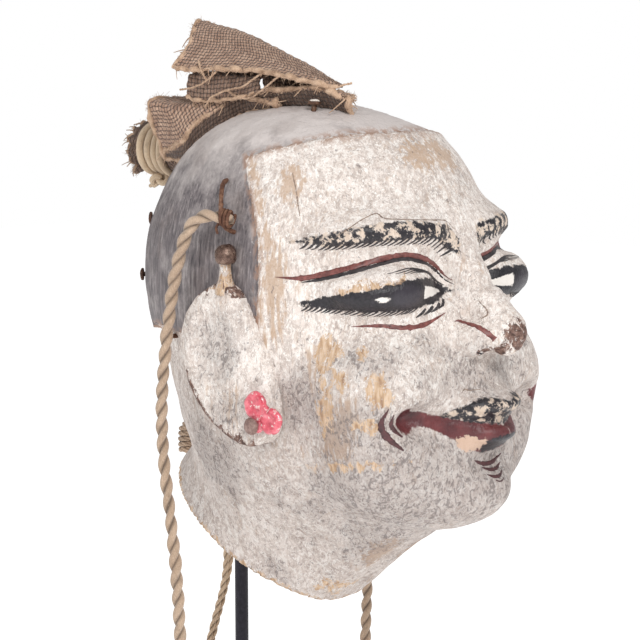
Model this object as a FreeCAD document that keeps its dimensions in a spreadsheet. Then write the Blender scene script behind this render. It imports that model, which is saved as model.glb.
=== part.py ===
"""Carved marionette head on a turning display rod.

Millimetres, +Z up. The origin is the middle of the base's underside, and the rod stands on the
Z axis. The face looks along -Y; the puppet's own right side (suffix _R) is at -X.
"""
import FreeCAD, Part
import math
import os
import re
import Sketcher
from FreeCAD import Placement, Rotation, Vector

# ---------------------------------------------------------------- driving dimensions
# alias: value in mm. A head level is: height, front and back reach from the head's middle, half width.
HEAD_LEVELS = {
    "crown": (343.0, 12.0, 20.0, 16.0),
    "cap": (339.0, 30.0, 36.0, 33.0),
    "hair": (330.0, 42.0, 51.0, 44.0),
    "forehead": (315.0, 51.0, 61.0, 50.5),
    "brow": (295.0, 56.0, 68.0, 54.0),
    "eye": (275.0, 60.0, 68.0, 54.5),
    "cheek": (255.0, 64.0, 62.0, 52.0),
    "mouth": (235.0, 68.0, 51.0, 48.0),
    "jaw": (218.0, 66.0, 34.0, 40.0),
    "chin": (208.0, 63.0, 24.0, 31.0),
}
LEVEL_PARTS = ("height", "front", "back", "half")

SIZES = {
    # stand
    "base_width": 130.0,
    "base_height": 18.0,
    "base_edge": 2.5,
    "felt_thick": 2.0,
    "felt_inset": 3.0,
    "rod_dia": 4.8,
    "rod_top": 285.0,
    "rod_foot": 3.4,
    "rod_clearance": 0.05,
    "counterbore_dia": 18.0,
    "counterbore_top": 9.0,
    "collar_dia": 14.0,
    "collar_height": 5.0,
    "washer_dia": 14.0,
    "washer_thick": 1.2,
    "nut_flats": 8.0,
    "nut_thick": 4.0,
    # liner
    "liner_dia": 7.0,
    "liner_bottom": 214.0,
    "liner_top": 284.0,
    "bore_top": 285.6,
    # head
    "head_middle": 40.0,
    "cloth_gap": 0.5,
    "neck_back": 15.5,
    "neck_foot_low": 195.0,
    "neck_height": 197.0,
    "neck_long": 38.7,
    "neck_wide": 32.0,
    "neck_slope": 32.9,
    "neck_length": 60.0,
    "neck_top_long": 34.0,
    "neck_top_wide": 30.0,
    "nose_out": 65.0,
    "nose_height": 284.0,
    "nose_tall": 25.0,
    "nose_wide": 10.5,
    "nose_deep": 11.0,
    "lip_out": 60.0,
    "lip_height": 246.0,
    "lip_tall": 8.0,
    "lip_wide": 20.0,
    "lip_deep": 9.5,
    # ears
    "ear_inner": 50.0,
    "ear_thick": 9.0,
    "ear_front": 62.5,
    "ear_front_top": 284.0,
    "ear_front_low": 240.0,
    "ear_lobe": 56.0,
    "ear_lobe_low": 234.4,
    "ear_back": 36.5,
    "ear_back_top": 281.0,
    "ear_back_low": 245.5,
    "ear_rear_bow": 25.0,
    "ear_top_bow": 22.0,
    "ear_low_bow": 40.0,
    "ear_edge": 2.0,
    # nails and staples
    "knob_dia": 6.4,
    "ear_nail_out": 56.0,
    "ear_nail_back": 45.0,
    "ear_nail_knob": 296.0,
    "ear_nail_foot": 272.0,
    "ear_nail_shank": 2.2,
    "staple_wire": 1.6,
    "staple_out": 58.0,
    "staple_depth": 18.0,
    "staple_back": 44.6,
    "staple_height": 307.8,
    "staple_span": 8.4,
    "nape_staple_out": 22.0,
    "nape_staple_height": 228.0,
    "nape_staple_span": 4.2,
    "nail_shank": 1.6,
    "nail_head": 4.2,
    "nail_head_thick": 1.2,
    "nail_stand": 3.4,
    "nail_bite": 8.0,
    "back_nail_stand": 1.2,
    # earrings
    "flower_back": 60.8,
    "flower_height": 243.6,
    "flower_inner": 59.35,
    "flower_thick": 2.0,
    "flower_hole": 2.1,
    "flower_lobe": 7.0,
    "pin_head_dia": 4.4,
    "pin_head_thick": 1.6,
    "pin_shank": 2.0,
    "pin_bite": 6.0,
    # cords
    "cord_dia": 4.0,
    "cord_knot": 8.4,
    "binding_dia": 6.0,
    "binding_long": 4.0,
    "tail_dia": 2.0,
    "tail_knot": 5.2,
    "nape_knot_wide": 7.2,
    "nape_knot_tall": 12.0,
    # topknot and cloth
    "stub_dia": 11.0,
    "stub_start": 6.0,
    "stub_height": 324.5,
    "stub_long": 42.0,
    "stub_tilt": 3.0,
    "wrap_dia": 13.6,
    "wrap_long": 28.0,
    "wrap_start": 15.0,
    "flare_start": 42.5,
    "flare_long": 7.0,
    "flare_dia": 24.0,
    "lash_wire": 2.3,
    "lash_first": 29.8,
    "lash_pitch": 3.3,
    "lash_knot": 3.2,
    "pad_half": 19.0,
    "pad_front": 20.0,
    "pad_rear": 37.0,
    "pad_low": 330.0,
    "pad_top": 345.5,
    "sheet_half": 16.0,
    "sheet_front": 65.0,
    "sheet_rear": 2.0,
    "sheet_low": 338.0,
    "sheet_top": 347.6,
    "peak_half": 20.0,
    "peak_front": 50.0,
    "peak_rear": 12.0,
    "peak_low": 348.2,
    "peak_top": 371.0,
}
for level, numbers in HEAD_LEVELS.items():
    for part, number in zip(LEVEL_PARTS, numbers):
        SIZES[f"{level}_{part}"] = number

LASH_TURNS = 4
SIDES = {"R": -1, "L": 1}

doc = FreeCAD.newDocument("PuppetHead")
sheet = doc.addObject("Spreadsheet::Sheet", "Sizes")
for row, (alias, number) in enumerate(SIZES.items(), start=1):
    sheet.set(f"A{row}", alias)
    sheet.set(f"B{row}", str(number))
    sheet.setAlias(f"B{row}", alias)
doc.recompute()

nodes = {}


# ---------------------------------------------------------------- helpers
def size(alias):
    """A driving dimension, read back from the sheet."""
    return float(sheet.get(alias))


def bind(obj, prop, text):
    """Bind a property to an expression in the sheet's aliases, such as "rod_dia / 2"."""
    linked = re.sub(r"[a-z_]{3,}", lambda word: "Sizes." + word[0] if word[0] in SIZES else word[0], text)
    obj.setExpression(prop, linked)


def place(obj, x="0", y="0", z="0", turn=None):
    """Put an object at a bound place, with an optional fixed rotation."""
    if turn is not None:
        obj.Placement = Placement(Vector(0, 0, 0), turn)
    for axis, text in zip("xyz", (x, y, z)):
        bind(obj, f"Placement.Base.{axis}", text)
    return obj


def shape_of(kind, name, **sizes):
    """A Part primitive whose sizes are bound to the sheet."""
    obj = doc.addObject(f"Part::{kind}", name)
    for prop, text in sizes.items():
        bind(obj, prop, text)
    return obj


def cut(name, base, tool):
    obj = doc.addObject("Part::Cut", name)
    obj.Base = base
    obj.Tool = tool
    return obj


def fuse(name, pieces):
    obj = doc.addObject("Part::MultiFuse", name)
    obj.Shapes = pieces
    return obj


def group(name, pieces):
    """Equal pieces that share one node, as separate solids."""
    obj = doc.addObject("Part::Compound", name)
    obj.Links = pieces
    return obj


def node(name, obj):
    """Name an object as a finished sub-part."""
    obj.Label = name
    nodes[name] = obj
    return obj


def origin_plane(body, role):
    for feature in body.Origin.OriginFeatures:
        if feature.Role == role:
            return feature
    raise ValueError(role)


def sketch_on(body, role, name, lift="0"):
    sketch = body.newObject("Sketcher::SketchObject", name)
    sketch.AttachmentSupport = [(origin_plane(body, role), "")]
    sketch.MapMode = "FlatFace"
    bind(sketch, "AttachmentOffset.Base.z", lift)
    return sketch


def add_square(sketch, width_text):
    """A square about the sketch's origin, its sides bound to the sheet."""
    reach = 10.0
    corners = [(-reach, -reach), (reach, -reach), (reach, reach), (-reach, reach)]
    for start, end in zip(corners, corners[1:] + corners[:1]):
        sketch.addGeometry(Part.LineSegment(Vector(*start, 0), Vector(*end, 0)), False)
    constraint = Sketcher.Constraint
    for side in range(4):
        sketch.addConstraint(constraint("Coincident", side, 2, (side + 1) % 4, 1))
        sketch.addConstraint(constraint("Horizontal" if side % 2 == 0 else "Vertical", side))
    sketch.addConstraint(constraint("Symmetric", 0, 1, 2, 1, -1, 1))
    for side, direction in ((0, "DistanceX"), (1, "DistanceY")):
        index = sketch.addConstraint(constraint(direction, side, 1, side, 2, 2 * reach))
        bind(sketch, f"Constraints[{index}]", width_text)


def add_circle(sketch, radius_text):
    index = sketch.addGeometry(Part.Circle(Vector(0, 0, 0), Vector(0, 0, 1), 5.0), False)
    sketch.addConstraint(Sketcher.Constraint("Coincident", index, 3, -1, 1))
    radius = sketch.addConstraint(Sketcher.Constraint("Radius", index, 5.0))
    bind(sketch, f"Constraints[{radius}]", radius_text)


def pad(body, sketch, name, length_text):
    feature = body.newObject("PartDesign::Pad", name)
    feature.Profile = sketch
    bind(feature, "Length", length_text)
    return feature


def pocket(body, sketch, name, length_text, through=False):
    feature = body.newObject("PartDesign::Pocket", name)
    feature.Profile = sketch
    feature.Reversed = True
    if through:
        feature.Type = "ThroughAll"
    else:
        bind(feature, "Length", length_text)
    return feature


def soften(body, kind, name, edges, prop, text):
    """A Fillet or Chamfer on named edges of the body's last feature."""
    base = body.Tip
    feature = body.newObject(f"PartDesign::{kind}", name)
    feature.Base = (base, edges)
    bind(feature, prop, text)
    return feature


# ---------------------------------------------------------------- stand
def make_base_block():
    """Square block, rod hole right through, counterbore below, softened edges."""
    body = doc.addObject("PartDesign::Body", "BaseBlock")
    outline = sketch_on(body, "XY_Plane", "BaseOutline", "felt_thick")
    add_square(outline, "base_width")
    pad(body, outline, "BasePad", "base_height")
    hole = sketch_on(body, "XY_Plane", "RodHole", "felt_thick")
    add_circle(hole, "rod_dia / 2")
    pocket(body, hole, "RodHoleCut", "base_height", through=True)
    bore = sketch_on(body, "XY_Plane", "Counterbore", "felt_thick")
    add_circle(bore, "counterbore_dia / 2")
    pocket(body, bore, "CounterboreCut", "counterbore_top - felt_thick")
    doc.recompute()
    top = size("felt_thick") + size("base_height")
    edges = []
    for index, edge in enumerate(body.Shape.Edges, start=1):
        box = edge.BoundBox
        if box.ZMin > top - 0.01 and box.XLength + box.YLength > size("counterbore_dia"):
            edges.append(f"Edge{index}")
    soften(body, "Fillet", "BaseEdge", edges, "Radius", "base_edge")
    return node("base_block", body)


def make_base_felt():
    body = doc.addObject("PartDesign::Body", "BaseFelt")
    outline = sketch_on(body, "XY_Plane", "FeltOutline")
    add_square(outline, "base_width - 2 * felt_inset")
    pad(body, outline, "FeltPad", "felt_thick")
    return node("base_felt", body)


def make_rod():
    """Straight rod with a round tip."""
    shaft = shape_of("Cylinder", "RodShaft", Radius="rod_dia / 2", Height="rod_top - rod_dia / 2 - rod_foot")
    place(shaft, z="rod_foot")
    tip = shape_of("Sphere", "RodTip", Radius="rod_dia / 2")
    place(tip, z="rod_top - rod_dia / 2")
    return node("stand_rod", fuse("StandRod", [shaft, tip]))


def make_ring(name, outer_text, inner_text, height_text, z_text):
    outer = shape_of("Cylinder", name + "Outer", Radius=outer_text, Height=height_text)
    place(outer, z=z_text)
    inner = shape_of("Cylinder", name + "Inner", Radius=inner_text, Height=height_text)
    place(inner, z=z_text)
    return cut(name, outer, inner)


def make_rod_fasteners():
    base_top = "felt_thick + base_height"
    node("rod_collar", make_ring("RodCollar", "collar_dia / 2", "rod_dia / 2", "collar_height", base_top))
    node("rod_washer", make_ring("RodWasher", "washer_dia / 2", "rod_dia / 2", "washer_thick",
                                 "counterbore_top - washer_thick"))
    hexagon = shape_of("Prism", "NutHexagon", Circumradius="nut_flats / 1.7320508", Height="nut_thick")
    hexagon.Polygon = 6
    nut_z = "counterbore_top - washer_thick - nut_thick"
    place(hexagon, z=nut_z)
    thread = shape_of("Cylinder", "NutThread", Radius="rod_dia / 2", Height="nut_thick")
    place(thread, z=nut_z)
    node("rod_nut", cut("RodNut", hexagon, thread))


# ---------------------------------------------------------------- head
def head_skull(name, grow):
    """The head as a loft through level ellipses, longest front to back; grow swells it evenly."""
    rings = []
    for level in HEAD_LEVELS:
        ring = doc.addObject("Part::Ellipse", f"{name}_{level}")
        bind(ring, "MajorRadius", f"({level}_front + {level}_back) / 2 + {grow}")
        bind(ring, "MinorRadius", f"{level}_half + {grow}")
        lift = grow if level == "crown" else "0"
        place(ring, y=f"({level}_back - {level}_front) / 2 - head_middle", z=f"{level}_height + {lift}",
              turn=Rotation(Vector(0, 0, 1), 90))
        rings.append(ring)
    loft = doc.addObject("Part::Loft", name)
    loft.Sections = rings
    loft.Solid = True
    return loft


def make_neck():
    """Slanted oval neck, widest at its cut foot, running up into the jaw."""
    slope = math.radians(size("neck_slope"))
    along = Vector(0, -math.sin(slope), math.cos(slope))
    turn = Rotation(Vector(1, 0, 0), size("neck_slope")) * Rotation(Vector(0, 0, 1), 90)
    foot = doc.addObject("Part::Ellipse", "NeckFoot")
    bind(foot, "MajorRadius", "neck_long")
    bind(foot, "MinorRadius", "neck_wide")
    place(foot, y="-neck_back", z="neck_height", turn=turn)
    top = doc.addObject("Part::Ellipse", "NeckTop")
    bind(top, "MajorRadius", "neck_top_long")
    bind(top, "MinorRadius", "neck_top_wide")
    place(top, y=f"-neck_back + neck_length * ({along.y:.4f})",
          z=f"neck_height + neck_length * ({along.z:.4f})", turn=turn)
    loft = doc.addObject("Part::Loft", "Neck")
    loft.Sections = [foot, top]
    loft.Solid = True
    return loft


def bulge(name, out_text, height_text, tall_text, wide_text, deep_text, lean=0.0):
    """An ellipsoid on the middle of the face, its top leant back by some degrees."""
    lump = shape_of("Ellipsoid", name, Radius1=tall_text, Radius2=wide_text, Radius3=deep_text)
    lump.Angle1 = -90
    lump.Angle2 = 90
    return place(lump, y=f"-head_middle - {out_text}", z=height_text, turn=Rotation(Vector(1, 0, 0), -lean))


def ear_outline(body, name, lift_text):
    """Five-cornered ear outline: three bowed edges, a short lobe edge and a straight front."""
    corners = [("ear_front", "ear_front_top"), ("ear_back", "ear_back_top"), ("ear_back", "ear_back_low"),
               ("ear_lobe", "ear_lobe_low"), ("ear_front", "ear_front_low")]
    bows = ["ear_top_bow", "ear_rear_bow", "ear_low_bow", None, None]
    sketch = sketch_on(body, "YZ_Plane", name, lift_text)
    points = [Vector(-size(back), size(height), 0) for back, height in corners]
    for index, bow in enumerate(bows):
        start = points[index]
        end = points[(index + 1) % len(points)]
        if bow is None:
            sketch.addGeometry(Part.LineSegment(start, end), False)
            continue
        chord = end - start
        middle = (start + end) / 2
        outward = Vector(-chord.y, chord.x, 0).normalize()
        rise = size(bow) - math.sqrt(size(bow) ** 2 - (chord.Length / 2) ** 2)
        sketch.addGeometry(Part.Arc(start, middle + outward * rise, end), False)
    ends = []
    for index, bow in enumerate(bows):
        # an arc drawn clockwise starts at its second end point
        ends.append((1, 2) if bow is None else (2, 1))
    for index in range(len(points)):
        following = (index + 1) % len(points)
        sketch.addConstraint(Sketcher.Constraint("Coincident", index, ends[index][1],
                                                 following, ends[following][0]))
    for index, (back, height) in enumerate(corners):
        place_y = sketch.addConstraint(Sketcher.Constraint("DistanceX", index, ends[index][0], -1, 1,
                                                           size(back)))
        bind(sketch, f"Constraints[{place_y}]", back)
        place_z = sketch.addConstraint(Sketcher.Constraint("DistanceY", -1, 1, index, ends[index][0],
                                                           size(height)))
        bind(sketch, f"Constraints[{place_z}]", height)
    for index, bow in enumerate(bows):
        if bow is not None:
            radius = sketch.addConstraint(Sketcher.Constraint("Radius", index, size(bow)))
            bind(sketch, f"Constraints[{radius}]", bow)
    return sketch


def make_ear(side):
    body = doc.addObject("PartDesign::Body", f"Ear{side}")
    lift = "ear_inner" if side == "L" else "-ear_inner - ear_thick"
    outline = ear_outline(body, f"EarOutline{side}", lift)
    pad(body, outline, f"EarPad{side}", "ear_thick")
    doc.recompute()
    outer_x = SIDES[side] * (size("ear_inner") + size("ear_thick"))
    edges = []
    for index, edge in enumerate(body.Shape.Edges, start=1):
        box = edge.BoundBox
        if abs(box.XMin - outer_x) < 0.01 and abs(box.XMax - outer_x) < 0.01:
            edges.append(f"Edge{index}")
    soften(body, "Chamfer", f"EarEdge{side}", edges, "Size", "ear_edge")
    return node(f"ear_{side}", body)


def make_head(ears):
    """Skull, face and neck in one block, bored for the liner and cut back flat for the ears."""
    face = [
        bulge("Nose", "nose_out", "nose_height", "nose_tall", "nose_wide", "nose_deep", lean=18.0),
        bulge("Lips", "lip_out", "lip_height", "lip_tall", "lip_wide", "lip_deep"),
    ]
    whole = fuse("HeadWhole", [head_skull("Skull", "0"), make_neck()] + face)
    bore = shape_of("Cylinder", "Bore", Radius="liner_dia / 2 + rod_clearance", Height="bore_top - neck_foot_low")
    place(bore, z="neck_foot_low")
    carved = cut("HeadBored", whole, bore)
    for side in SIDES:
        carved = cut(f"HeadSeat{side}", carved, ears[side])
    return node("head_block", carved)


def make_liner():
    outer = shape_of("Cylinder", "LinerOuter", Radius="liner_dia / 2", Height="liner_top - liner_bottom")
    place(outer, z="liner_bottom")
    inner = shape_of("Cylinder", "LinerInner", Radius="rod_dia / 2 + rod_clearance",
                     Height="liner_top - liner_bottom")
    place(inner, z="liner_bottom")
    return node("neck_liner", cut("NeckLiner", outer, inner))


# ---------------------------------------------------------------- nails, staples, earrings
def signed(side, text):
    return text if SIDES[side] > 0 else f"-({text})"


def make_ear_nail(side):
    """Round-headed nail driven down into the top of the ear."""
    knob = shape_of("Sphere", f"EarNailKnob{side}", Radius="knob_dia / 2")
    place(knob, x=signed(side, "ear_nail_out"), y="-ear_nail_back", z="ear_nail_knob")
    shank = shape_of("Cylinder", f"EarNailShank{side}", Radius="ear_nail_shank / 2",
                     Height="ear_nail_knob - ear_nail_foot")
    place(shank, x=signed(side, "ear_nail_out"), y="-ear_nail_back", z="ear_nail_foot")
    return node(f"ear_nail_{side}", fuse(f"EarNail{side}", [knob, shank]))


def make_staple(name, depth_text, span_text):
    """Wire staple in its own frame: legs along +Z, joined at the top by a bridge along X."""
    pieces = []
    for label, sign in (("Left", "-"), ("Right", "")):
        leg = shape_of("Cylinder", f"{name}Leg{label}", Radius="staple_wire / 2", Height=depth_text)
        pieces.append(place(leg, x=f"{sign}({span_text}) / 2", z=f"-({depth_text})"))
        corner = shape_of("Sphere", f"{name}Corner{label}", Radius="staple_wire / 2")
        pieces.append(place(corner, x=f"{sign}({span_text}) / 2"))
    bridge = shape_of("Cylinder", f"{name}Bridge", Radius="staple_wire / 2", Height=span_text)
    pieces.append(place(bridge, x=f"-({span_text}) / 2", turn=Rotation(Vector(0, 1, 0), 90)))
    return fuse(name, pieces)


def make_temple_staple(side):
    """Upright staple at the temple, its legs driven in level."""
    staple = make_staple(f"TempleStaple{side}", "staple_depth", "staple_span")
    place(staple, x=signed(side, "staple_out"), y="-staple_back", z="staple_height",
          turn=Rotation(Vector(0, 1, 0), 90 * SIDES[side]))
    return node(f"temple_staple_{side}", staple)


def make_earring(side):
    """Two-lobed flower with its pin hole, and the nail that holds it on the ear."""
    turn = Rotation(Vector(0, 1, 0), 90)
    inner = signed(side, "flower_inner") if SIDES[side] > 0 else "-flower_inner - flower_thick"
    # each lobe: forward and upward offset from the pin, in lobe radii
    petals = [("Low", 0.0, 0.0, 0.52), ("Rear", 0.17, 0.95, 0.64), ("Front", 1.03, 0.25, 0.64)]
    discs = []
    for label, forward, upward, swell in petals:
        disc = shape_of("Cylinder", f"Petal{label}{side}", Radius=f"flower_lobe * {swell}",
                        Height="flower_thick")
        discs.append(place(disc, x=inner, y=f"-flower_back - flower_lobe * {forward}",
                           z=f"flower_height + flower_lobe * {upward}", turn=turn))
    hole = shape_of("Cylinder", f"FlowerHole{side}", Radius="flower_hole / 2", Height="flower_thick")
    place(hole, x=inner, y="-flower_back", z="flower_height", turn=turn)
    node(f"ear_flower_{side}", cut(f"EarFlower{side}", fuse(f"Petals{side}", discs), hole))

    pin_face = "flower_inner + flower_thick + 0.3"
    outer_end = f"{pin_face} + pin_head_thick"
    head_x = signed(side, pin_face) if SIDES[side] > 0 else f"-({outer_end})"
    head = shape_of("Cylinder", f"PinHead{side}", Radius="pin_head_dia / 2", Height="pin_head_thick")
    place(head, x=head_x, y="-flower_back", z="flower_height", turn=turn)
    foot = "ear_inner + ear_thick - pin_bite"
    shank_x = signed(side, foot) if SIDES[side] > 0 else f"-({outer_end})"
    shank = shape_of("Cylinder", f"PinShank{side}", Radius="pin_shank / 2", Height=f"{outer_end} - ({foot})")
    place(shank, x=shank_x, y="-flower_back", z="flower_height", turn=turn)
    node(f"earring_nail_{side}", fuse(f"EarringNail{side}", [head, shank]))


def skull_normal(point, level):
    """Outward direction of the head's level ellipse at a point, level with the ground."""
    reach = (size(f"{level}_front") + size(f"{level}_back")) / 2
    middle = (size(f"{level}_back") - size(f"{level}_front")) / 2 - size("head_middle")
    half = size(f"{level}_half")
    return Vector(point.x / half ** 2, (point.y - middle) / reach ** 2, 0).normalize()


def make_nail(name, point, outward, stand_alias):
    """Flat-headed nail standing proud of the surface point, driven in against outward."""
    turn = Rotation(Vector(0, 0, 1), outward)
    foot = point - outward * size("nail_bite")
    shank = shape_of("Cylinder", name + "Shank", Radius="nail_shank / 2", Height=f"nail_bite + {stand_alias}")
    shank.Placement = Placement(foot, turn)
    head = shape_of("Cylinder", name + "Head", Radius="nail_head / 2", Height="nail_head_thick")
    head.Placement = Placement(point + outward * size(stand_alias), turn)
    return fuse(name, [shank, head])


def make_nail_groups():
    crown_spots = [(-19.0, -50.0, 338.6), (19.0, -46.0, 339.0)]
    crown_nails = []
    for index, spot in enumerate(crown_spots, start=1):
        crown_nails.append(make_nail(f"CrownNail{index}", Vector(*spot), Vector(0, 0, 1), "nail_stand"))
    node("cloth_nails", group("CrownNails", crown_nails))
    back_spots = [(-30.5, 14.0, 306.0, "forehead"), (-31.0, 17.5, 287.0, "brow"), (30.0, 14.5, 305.0, "forehead"),
                  (-46.5, -3.0, 268.0, "eye")]
    back_nails = []
    for index, (x, y, z, level) in enumerate(back_spots, start=1):
        point = Vector(x, y, z)
        outward = skull_normal(point, level)
        back_nails.append(make_nail(f"BackNail{index}", point - outward * 1.5, outward, "back_nail_stand"))
    node("back_nails", group("BackNails", back_nails))


# ---------------------------------------------------------------- cords
# Routes are lists of points from the fitting to the end. A left cord mirrors the right one's X.
TEMPLE_ROUTE = [
    (-55.2, -46.8, 306.6), (-57.2, -41.4, 307.9), (-58.7, -34.8, 307.1), (-59.4, -28.2, 303.2),
    (-59.8, -24.4, 296.4), (-59.7, -22.6, 285.0), (-59.5, -20.9, 267.4), (-59.3, -19.2, 247.4),
    (-59.4, -20.0, 227.6), (-59.6, -22.8, 208.8), (-59.6, -25.4, 189.0), (-59.4, -26.4, 168.2),
    (-58.8, -25.8, 146.0), (-58.2, -24.2, 122.8), (-57.9, -23.5, 100.6), (-57.8, -24.1, 80.0),
]
NAPE_ROUTES = {
    "a": [(1.6, 22.6, 214.6), (4.6, 23.4, 206.2), (10.2, 24.4, 195.6), (15.2, 25.0, 183.4),
          (16.6, 25.4, 170.0), (13.8, 25.6, 156.8), (9.6, 25.4, 143.6), (6.4, 25.0, 129.0),
          (5.2, 24.6, 113.4), (5.8, 24.4, 97.6), (6.6, 24.4, 83.6)],
    "b": [(-1.2, 22.4, 214.4), (0.6, 22.9, 204.6), (5.8, 23.3, 191.8), (11.2, 23.2, 178.2),
          (12.6, 22.9, 163.6), (10.2, 22.5, 149.6), (5.4, 22.3, 136.0), (1.4, 22.3, 121.2),
          (0.0, 22.5, 106.0), (1.2, 22.9, 91.6)],
}
LIMPEST_BEND = 3.0  # least bend radius, in cord diameters


def rounded_path(points):
    """Straight runs joined by arcs, each arc as large as its two runs allow. Gives edges and radii."""
    edges = []
    radii = []
    start = points[0]
    for before, corner, after in zip(points, points[1:], points[2:]):
        into = (corner - before)
        away = (after - corner)
        half_turn = into.getAngle(away) / 2
        reach = 0.45 * min(into.Length, away.Length)
        radii.append(reach / math.tan(half_turn))
        into.normalize()
        away.normalize()
        arc_start = corner - into * reach
        arc_end = corner + away * reach
        bisector = (away - into).normalize()
        to_middle = radii[-1] * (1 / math.cos(half_turn) - 1)
        edges.append(Part.LineSegment(start, arc_start).toShape())
        edges.append(Part.Arc(arc_start, corner + bisector * to_middle, arc_end).toShape())
        start = arc_end
    edges.append(Part.LineSegment(start, points[-1]).toShape())
    return edges, radii


def make_cord(name, points, dia_alias):
    """A plain round tube along a rounded route; its volume has to be section times length."""
    edges, radii = rounded_path(points)
    wire = Part.Wire(edges)
    radius = size(dia_alias) / 2
    heading = (points[1] - points[0]).normalize()
    section = Part.Wire(Part.makeCircle(radius, points[0], heading))
    tube = wire.makePipeShell([section], True, False)
    expected = math.pi * radius ** 2 * wire.Length
    print(f"{name}: length {wire.Length:.1f}, least radius {min(radii):.1f}, "
          f"volume {tube.Volume / expected:.4f} of section times length")
    if min(radii) < LIMPEST_BEND * size(dia_alias):
        raise ValueError(f"{name} bends tighter than {LIMPEST_BEND} diameters")
    cord = doc.addObject("Part::Feature", name.title().replace("_", ""))
    cord.Shape = tube
    return node(name, cord)


def make_knot(name, points, dia_alias, squash=0.9):
    """Knot at a cord's end: a squashed ball that the cord runs into."""
    heading = (points[-1] - points[-2]).normalize()
    knot = shape_of("Ellipsoid", name.title().replace("_", ""), Radius1=f"{dia_alias} / 2",
                    Radius2=f"{dia_alias} / 2 * {squash}")
    knot.Angle1 = -90
    knot.Angle2 = 90
    centre = points[-1] + heading * size(dia_alias) * 0.25
    return node(name, place(knot, x=str(centre.x), y=str(centre.y), z=str(centre.z)))


def make_binding(side, points):
    """Sleeve of wire turns round the first stretch of a temple cord."""
    heading = (points[1] - points[0]).normalize()
    turn = Rotation(Vector(0, 0, 1), heading)
    outer = shape_of("Cylinder", f"BindingOuter{side}", Radius="binding_dia / 2", Height="binding_long")
    inner = shape_of("Cylinder", f"BindingInner{side}", Radius="cord_dia / 2", Height="binding_long")
    for sleeve in (outer, inner):
        sleeve.Placement = Placement(points[0], turn)
    return node(f"temple_binding_{side}", cut(f"TempleBinding{side}", outer, inner))


def make_cords():
    for side, sign in SIDES.items():
        points = [Vector(-sign * x, y, z) for x, y, z in TEMPLE_ROUTE]
        make_cord(f"temple_cord_{side}", points, "cord_dia")
        make_binding(side, points)
        make_knot(f"cord_knot_{side}", points, "cord_knot")
    for strand, route in NAPE_ROUTES.items():
        points = [Vector(*point) for point in route]
        make_cord(f"nape_tail_{strand}", points, "tail_dia")
        make_knot(f"tail_knot_{strand}", points, "tail_knot")


def make_nape_fittings():
    """Staple driven into the nape, and the wrapped knot that hangs against the neck."""
    staple = make_staple("NapeStaple", "staple_depth", "nape_staple_span")
    place(staple, y="nape_staple_out", z="nape_staple_height", turn=Rotation(Vector(1, 0, 0), -90))
    node("nape_staple", staple)
    knot = shape_of("Ellipsoid", "NapeKnot", Radius1="nape_knot_tall / 2", Radius2="nape_knot_wide / 2",
                    Radius3="nape_knot_wide / 2")
    knot.Angle1 = -90
    knot.Angle2 = 90
    return node("nape_knot", place(knot, y="22.6", z="220.6"))


# ---------------------------------------------------------------- topknot and cloth
def stub_axis():
    tilt = math.radians(size("stub_tilt"))
    return Vector(0, math.cos(tilt), math.sin(tilt))


def stub_point(along):
    """A point on the stub's axis, by its distance along Y from the head's axis."""
    return Vector(0, along, size("stub_height") + (along - 25.0) * math.tan(math.radians(size("stub_tilt"))))


def stub_cylinder(name, radius_text, start, length_text):
    cylinder = shape_of("Cylinder", name, Radius=radius_text, Height=length_text)
    cylinder.Placement = Placement(stub_point(start), Rotation(Vector(0, 0, 1), stub_axis()))
    return cylinder


def make_topknot():
    core = stub_cylinder("StubCore", "stub_dia / 2", size("stub_start"), "stub_long")
    node("topknot_core", core)
    turns = []
    for index in range(LASH_TURNS):
        turn = shape_of("Torus", f"LashTurn{index + 1}", Radius1="wrap_dia / 2 + lash_wire / 2 + 0.05",
                        Radius2="lash_wire / 2")
        along = size("lash_first") + index * size("lash_pitch")
        turn.Placement = Placement(stub_point(along), Rotation(Vector(0, 0, 1), stub_axis()))
        turns.append(turn)
    knot = shape_of("Ellipsoid", "LashKnot", Radius1="lash_knot", Radius2="lash_knot",
                    Radius3="lash_pitch * 2")
    knot.Angle1 = -90
    knot.Angle2 = 90
    middle = stub_point(size("lash_first") + size("lash_pitch") * (LASH_TURNS - 1) / 2)
    place(knot, x="-3", y=str(middle.y), z=f"{middle.z:.3f} - wrap_dia / 2 - lash_knot + 0.2")
    node("topknot_lashing", fuse("TopknotLashing", turns + [knot]))


def box_between(name, half_text, rear_text, front_text, low_text, top_text):
    """A box across the middle, from front to rear reach along Y and between two heights."""
    box = shape_of("Box", name, Length=f"2 * ({half_text})", Width=f"{rear_text} + {front_text}",
                   Height=f"{top_text} - {low_text}")
    return place(box, x=f"-({half_text})", y=f"-({front_text})", z=low_text)


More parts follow.
